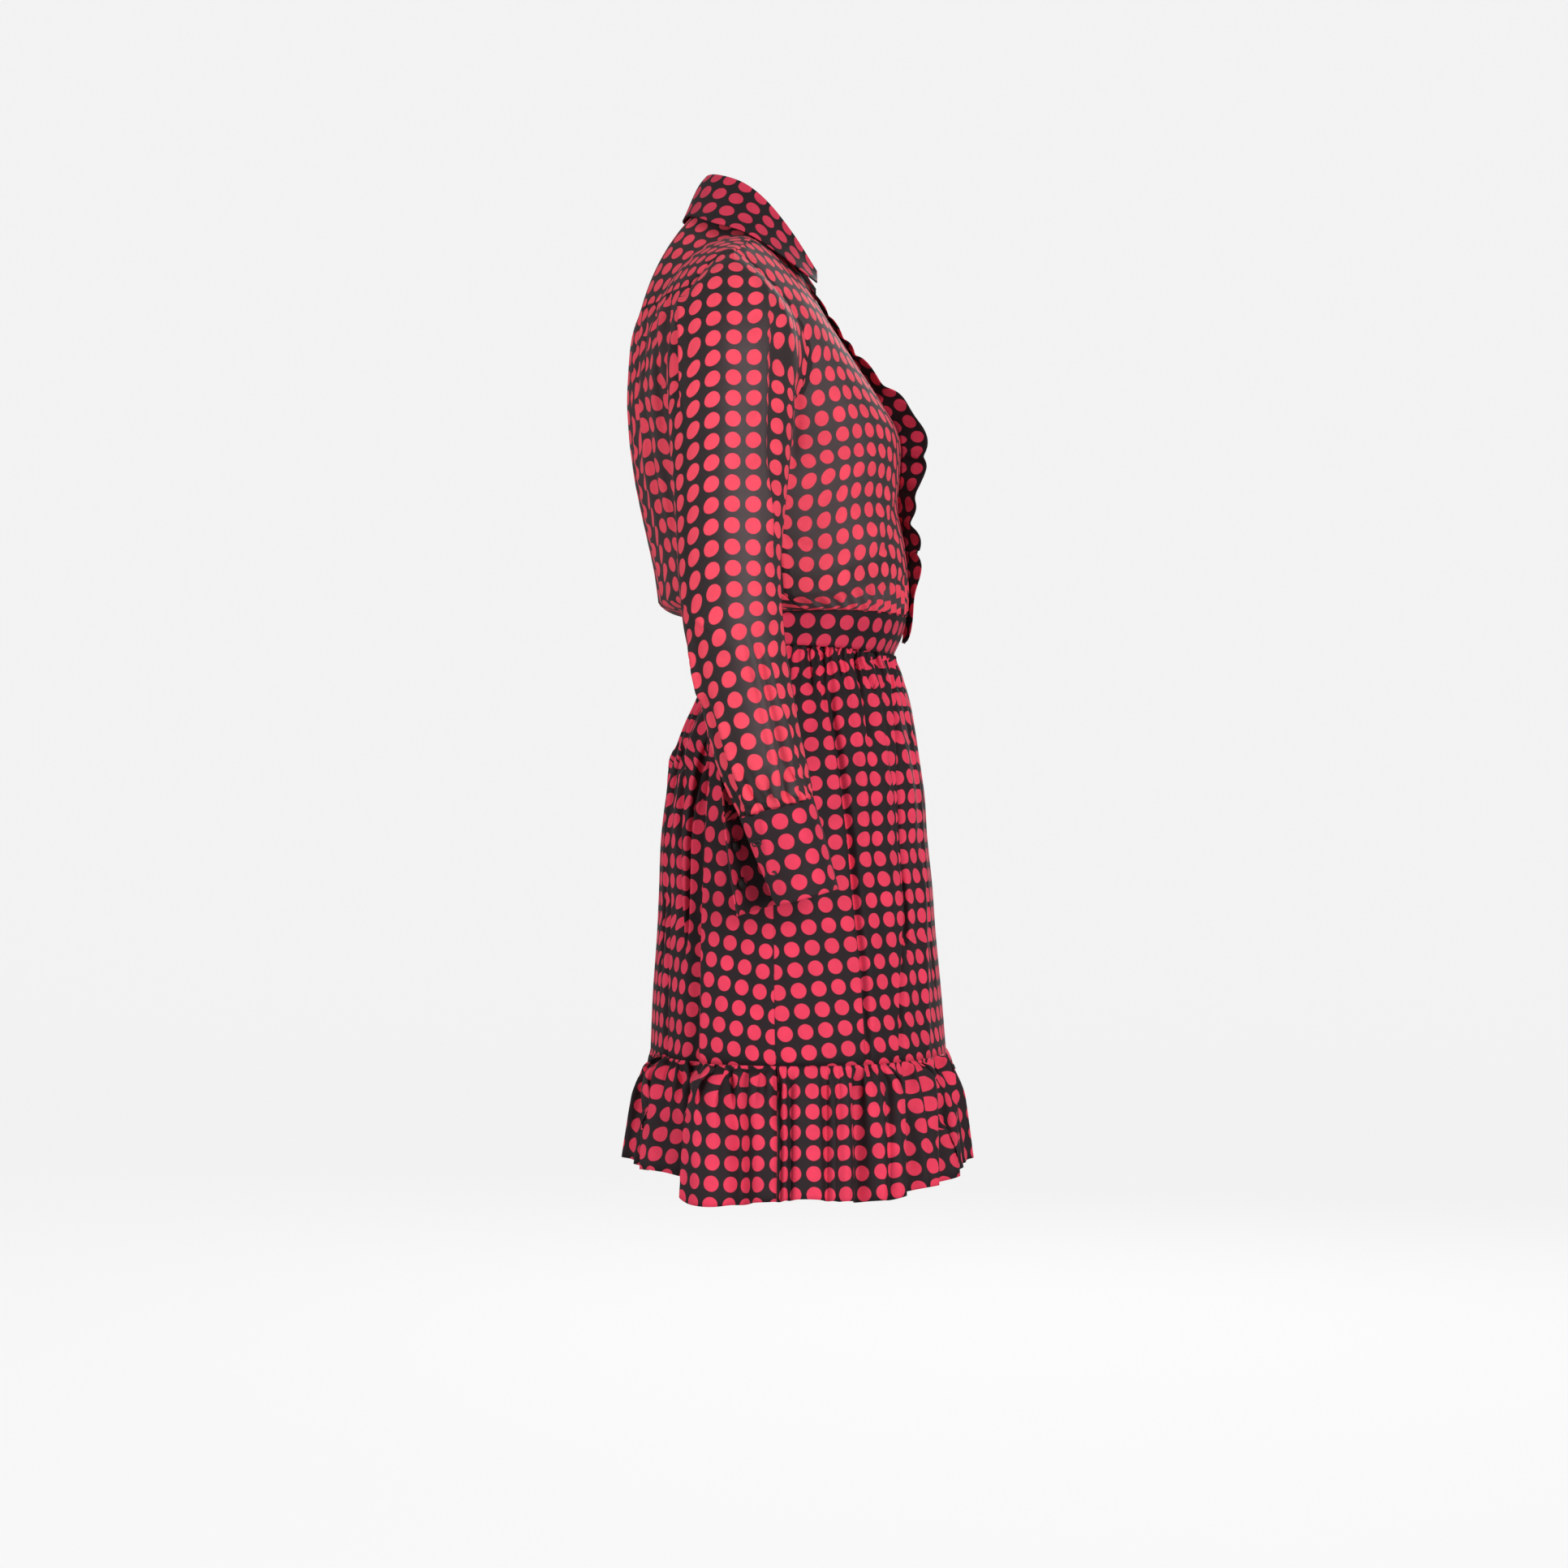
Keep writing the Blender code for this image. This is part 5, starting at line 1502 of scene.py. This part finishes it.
RUFFLE_BASE_X, RUFFLE_TAIL_START, RUFFLE_TAIL_FRONT, RUFFLE_TAIL_DROP = 0.0085, 0.345, 0.1338, 0.3640
RUFFLE_FIRST_DOT = (0.0, 0.0)
RUFFLE_WAVES = 11
RUFFLE_LIFT, RUFFLE_CRINKLE, RUFFLE_SWING, RUFFLE_CLEAR = 0.0008, 0.0005, 0.0016, 0.0016
print("ruffle levels:", len(RUFFLE["cloth"]))

# %% [markdown]
# The base of a ruffle follows the neckline and then the front's edge. Its tail is tucked into the
# waistband. The waves run along the strip at an uneven pace and grow towards the free edge.

# %% The ruffles
def ruffle_base(cloth):
    """The sewn edge of the left ruffle, with the directions out of the cloth and across it."""
    angle = np.hypot(neck_angle(cloth), angle_at(RUFFLE_BASE_X))
    kept = np.minimum(cloth, RUFFLE_TAIL_START)
    base = bodice(angle, kept)
    across = unit(bodice(angle + 0.04, kept) - base)
    out = unit(np.cross(bodice(angle, kept + 0.004) - base, across))
    tail = ease((cloth - RUFFLE_TAIL_START) / (cloth[-1] - RUFFLE_TAIL_START))[:, None]
    tail_end = place(base[:, 0], RUFFLE_TAIL_FRONT, RUFFLE_TAIL_DROP)
    tail = np.concatenate([tail, tail**5, tail], axis=1)
    return base + (tail_end - base) * tail + out * RUFFLE_LIFT, out, across


def ruffle_grid(columns=340, rows=14):
    """The left ruffle and its cut, from the collar to the waistband."""
    cloth = np.linspace(RUFFLE["cloth"][0], RUFFLE["cloth"][-1], columns)
    base, out, across = ruffle_base(cloth)
    stand, lean, depth = (smooth_through(RUFFLE["cloth"], RUFFLE[name], cloth) for name in ("stand", "lean", "wave"))
    reach = out * stand[:, None] + across * lean[:, None]
    sideways = unit(np.cross(reach, np.gradient(base, axis=0)))
    phase = 2 * math.pi * RUFFLE_WAVES * (cloth - cloth[0]) / (cloth[-1] - cloth[0])
    phase = phase + 0.8 * np.sin(phase / 3.1 + 0.6) + 0.5 * np.sin(phase / 1.7 + 2.0)
    share = np.linspace(0, 1, rows)[None, :, None]
    wave = share**0.9 * (depth * np.sin(phase))[:, None, None]
    crinkle = RUFFLE_CRINKLE * np.sin(math.pi * share) * np.sin(phase * 2.7 + 1.0)[:, None, None]
    swing = RUFFLE_SWING * share**1.4 * np.sin(phase + 1.2)[:, None, None]
    along_edge = unit(np.gradient(base, axis=0))[:, None]
    points = base[:, None] + reach[:, None] * share + sideways[:, None] * (wave + crinkle) + along_edge * swing
    points[..., 0] = np.maximum(points[..., 0], RUFFLE_CLEAR)
    edge = travelled(points[:, -1:], 0)
    return points, np.stack([edge + 0 * share[..., 0], travelled(points, 1)], axis=-1)


points, cut = ruffle_grid()
cloth_piece("ruffle_left", points, cut, shaded_doubled_crepe, RUFFLE_FIRST_DOT, 0.1)
cloth_piece("ruffle_right", mirrored(points), cut[:, ::-1], shaded_doubled_crepe, RUFFLE_FIRST_DOT, 0.1)

# %% [markdown]
# ## Buttons and buttonholes
#
# Each cuff has two covered buttons on its underlap: a domed mould with a circle of the cloth drawn
# over it. The dots on so small a circle of cloth fall anywhere, so they come from scattered cells
# instead of the grid, and the cloth's pebble is stretched finer.

# %% Cloth over a button mould
BUTTON_CELL, BUTTON_PEBBLE = 0.0125, 0.0016
button_cloth, button_shader = new_material("cloth over a button mould")
button_place = add_node(button_cloth, "ShaderNodeTexCoord").outputs["Object"]
button_dots = add_node(
    button_cloth, "ShaderNodeTexVoronoi", {}, {"Scale": 1 / BUTTON_CELL, "Randomness": 0.25},
    {"Vector": button_place},
).outputs["Distance"]
button_colour = colour_mix(
    button_cloth, {6: linear("#1b1013"), 7: linear("#a82a42")},
    {0: soft_step(button_cloth, 0.40, 0.36, button_dots)},
)
button_pebble = add_node(
    button_cloth, "ShaderNodeTexNoise", {}, {"Scale": 1 / BUTTON_PEBBLE, "Detail": 3.0},
    {"Vector": button_place},
).outputs["Fac"]
wire(button_cloth, button_colour, button_shader, "Base Color")
wire(button_cloth, relief(button_cloth, button_pebble, 0.3, 0.0003), button_shader, "Normal")
set_sockets(button_shader, {"Roughness": 0.6, "Specular IOR Level": 0.3})
print("material:", button_cloth.name)

# %% [markdown]
# A small shape is made upright at the origin and then set on the cuff: its Z looks the way it
# faces, and its X runs along the cloth. The right cuff's shapes are set in the mirrored place.

# %% Small shapes on the cuffs
def cuff_frame(share, around):
    """A place on the left cuff, with the directions into it and along it."""
    at = cuff_grid(share, around)
    beside = cuff_grid(share, around - 0.02) - at
    below = cuff_grid(share + 0.05, around) - at
    return at, unit(np.cross(beside, below)), unit(beside)


def set_on(name, shape, material, at, facing, along):
    """A finished small shape set on the cloth."""
    turn = np.array([unit(along), unit(np.cross(facing, along)), unit(facing)]).T
    for vertex in shape.verts:
        vertex.co = (turn @ np.array(vertex.co) + at).tolist()
    bmesh.ops.recalc_face_normals(shape, faces=shape.faces)
    piece = new_piece(name, shape, material)
    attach(piece, "root")
    return piece


def spun(profile, steps):
    """A half profile spun all the way round the upright axis."""
    shape = bmesh.new()
    line = [shape.verts.new((x, 0.0, z)) for x, z in profile]
    edges = [shape.edges.new(pair) for pair in zip(line, line[1:])]
    bmesh.ops.spin(
        shape, geom=line + edges, cent=(0, 0, 0), axis=(0, 0, 1), angle=2 * math.pi, steps=steps,
        use_merge=True,
    )
    bmesh.ops.remove_doubles(shape, verts=shape.verts, dist=MERGE)
    return shape


SIDES = {"left": np.array([1.0, 1.0, 1.0]), "right": np.array([-1.0, 1.0, 1.0])}
print("a place on the cuff:", cuff_frame(0.5, 0.5)[0].round(3))

# %% [markdown]
# A covered button is round about its shank, so half of its profile is drawn, in metres from the
# shank outwards and up from the cloth, and spun. Each button stands where the CAD has it, on the
# inner face of the underlap.

# %% Covered buttons
BUTTON_SHARES, BUTTON_PLACE, BUTTON_SHANK = (0.28, 0.68), 0.945, 0.0021
BUTTON_PROFILE = [
    (0.0000, 0.0033),
    (0.0016, 0.0031),
    (0.0032, 0.0026),
    (0.0045, 0.0018),
    (0.0053, 0.0008),
    (0.0055, 0.0000),
    (0.0048, -0.0006),
    (0.0022, -0.0008),
    (0.0012, -0.0016),
    (0.0000, -0.0016),
]
for side_name, flip in SIDES.items():
    for number, share in enumerate(BUTTON_SHARES, 1):
        at, inwards, along = cuff_frame(share, BUTTON_PLACE)
        node = f"cuff_button_{side_name}_{number}"
        button = set_on(
            node + "_covered", spun(BUTTON_PROFILE, 28), button_cloth, (at + inwards * BUTTON_SHANK) * flip,
            inwards * flip, along * flip,
        )
        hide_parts(node)
        print(button.name, len(button.data.vertices), "vertices")

# %% [markdown]
# The buttonholes in the overlap are bound with black silk thread. It is spun from filaments and
# twisted tight, so it has a soft gloss. The thread is laid round the slit stitch by stitch, so the
# ring is drawn as one bead whose thickness rises and falls once a stitch. The bead starts as a grid
# that is rolled into a tube and bent into an oval. A real stitch is half as thick; it is drawn
# coarser so that it shows.

# %% Bound buttonholes
HOLE_SHARES, HOLE_PLACE, HOLE_LIFT = (0.31, 0.66), 0.064, 0.0008
HOLE_LENGTH, HOLE_WIDTH, THREAD_WIDTH, STITCHES, STITCH_RISE = 0.0120, 0.0036, 0.0015, 34, 0.22
thread_silk, thread_shader = new_material("twisted silk thread")
thread_twist = add_node(
    thread_silk, "ShaderNodeTexNoise", {}, {"Scale": 1 / 0.0007, "Detail": 2.0},
    {"Vector": add_node(thread_silk, "ShaderNodeTexCoord").outputs["Object"]},
).outputs["Fac"]
thread_shade = colour_mix(thread_silk, {6: linear("#0c090b"), 7: linear("#2c2529")}, {0: thread_twist})
wire(thread_silk, thread_shade, thread_shader, "Base Color")
set_sockets(thread_shader, {"Roughness": 0.42, "Specular IOR Level": 0.5})


def bound_hole():
    """An oval ring of thread round a slit, thicker at each stitch."""
    shape = bmesh.new()
    bmesh.ops.create_grid(shape, x_segments=6 * STITCHES, y_segments=8, size=1.0)
    for vertex in shape.verts:
        turn = (vertex.co.x + 1) * math.pi
        section = (vertex.co.y + 1) * math.pi
        bead = THREAD_WIDTH / 2 * (1 + STITCH_RISE * abs(math.sin(STITCHES * turn / 2)))
        ahead = HOLE_WIDTH / 2 + bead * math.cos(section)
        straight = (HOLE_LENGTH - HOLE_WIDTH) / 2 * math.tanh(4 * math.cos(turn))
        vertex.co = (
            straight + ahead * math.cos(turn), ahead * math.sin(turn), HOLE_LIFT + bead * math.sin(section),
        )
    bmesh.ops.remove_doubles(shape, verts=shape.verts, dist=MERGE)
    return shape


for side_name, flip in SIDES.items():
    for number, share in enumerate(HOLE_SHARES, 1):
        at, inwards, along = cuff_frame(share, HOLE_PLACE)
        hole = set_on(
            f"buttonhole_{side_name}_{number}", bound_hole(), thread_silk, at * flip, -inwards * flip,
            along * flip,
        )
        print(hole.name, len(hole.data.vertices), "vertices")

# %% [markdown]
# ## Studio
#
# The dress hangs in a white studio. Floor and wall are one sheet of paper that bends up in a soft
# curve, so no line shows between them. A half profile spun round the dress makes it, and it glows a
# little, as paper does that is lit from behind. It is left out of the light that falls on the
# cloth, so that the soft boxes alone shape the folds.

# %% The studio's paper
FLOOR_DROP, STUDIO_RADIUS, STUDIO_BEND, STUDIO_HEIGHT, BEND_STEPS = 1.32, 7.0, 1.2, 9.0, 12
studio_paper, paper_shader = new_material("matt white studio paper")
paper_fibres = add_node(
    studio_paper, "ShaderNodeTexNoise", {}, {"Scale": 1 / 0.004, "Detail": 2.0},
    {"Vector": add_node(studio_paper, "ShaderNodeTexCoord").outputs["Object"]},
).outputs["Fac"]
wire(studio_paper, relief(studio_paper, paper_fibres, 0.02, 0.0005), paper_shader, "Normal")
set_sockets(paper_shader, {
    "Base Color": linear("#5a5a5a"), "Roughness": 0.95, "Specular IOR Level": 0.0,
    "Emission Color": (1, 1, 1, 1), "Emission Strength": 0.84,
})

flat_radius = STUDIO_RADIUS - STUDIO_BEND
bends = [step / BEND_STEPS * math.pi / 2 for step in range(1, BEND_STEPS + 1)]
profile = [(0.0, 0.0), (flat_radius, 0.0)]
profile += [(flat_radius + STUDIO_BEND * math.sin(b), STUDIO_BEND - STUDIO_BEND * math.cos(b)) for b in bends]
profile.append((STUDIO_RADIUS, STUDIO_HEIGHT))
shape = spun([(x, z - FLOOR_DROP) for x, z in profile], 64)
bmesh.ops.recalc_face_normals(shape, faces=shape.faces)
bmesh.ops.reverse_faces(shape, faces=shape.faces)
studio = new_piece("studio_paper", shape, studio_paper)
studio.visible_diffuse = studio.visible_glossy = studio.visible_shadow = False
print("studio:", STUDIO_RADIUS, "m round the dress")

# %% [markdown]
# ## Light
#
# Three soft boxes light the cloth: the key from ahead of the near side, a fill from behind it, and
# one on the far side for the parts that the camera doesn't see. An even white sky fills the rest.

# %% Soft boxes
world = bpy.data.worlds.new("studio")
bpy.context.scene.world = world
world.use_nodes = True
world.node_tree.nodes["Background"].inputs["Color"].default_value = (1, 1, 1, 1)
world.node_tree.nodes["Background"].inputs["Strength"].default_value = 0.42


def softbox(name, place_at, aim_at, width, watts):
    """A square area light that looks at a point."""
    light = bpy.data.lights.new(name, "AREA")
    light.size = width
    light.energy = watts
    lamp = bpy.data.objects.new(name, light)
    lamp.location = place_at
    lamp.rotation_euler = (Vector(aim_at) - Vector(place_at)).to_track_quat("-Z", "Y").to_euler()
    bpy.context.scene.collection.objects.link(lamp)


softbox("key", (-2.7, -1.5, 0.15), (0, 0, -0.4), 1.3, 66)
softbox("fill", (-1.9, 2.4, -0.1), (0, 0, -0.4), 1.4, 36)
softbox("far side", (2.6, -0.6, 0.8), (0, 0, -0.4), 1.6, 60)
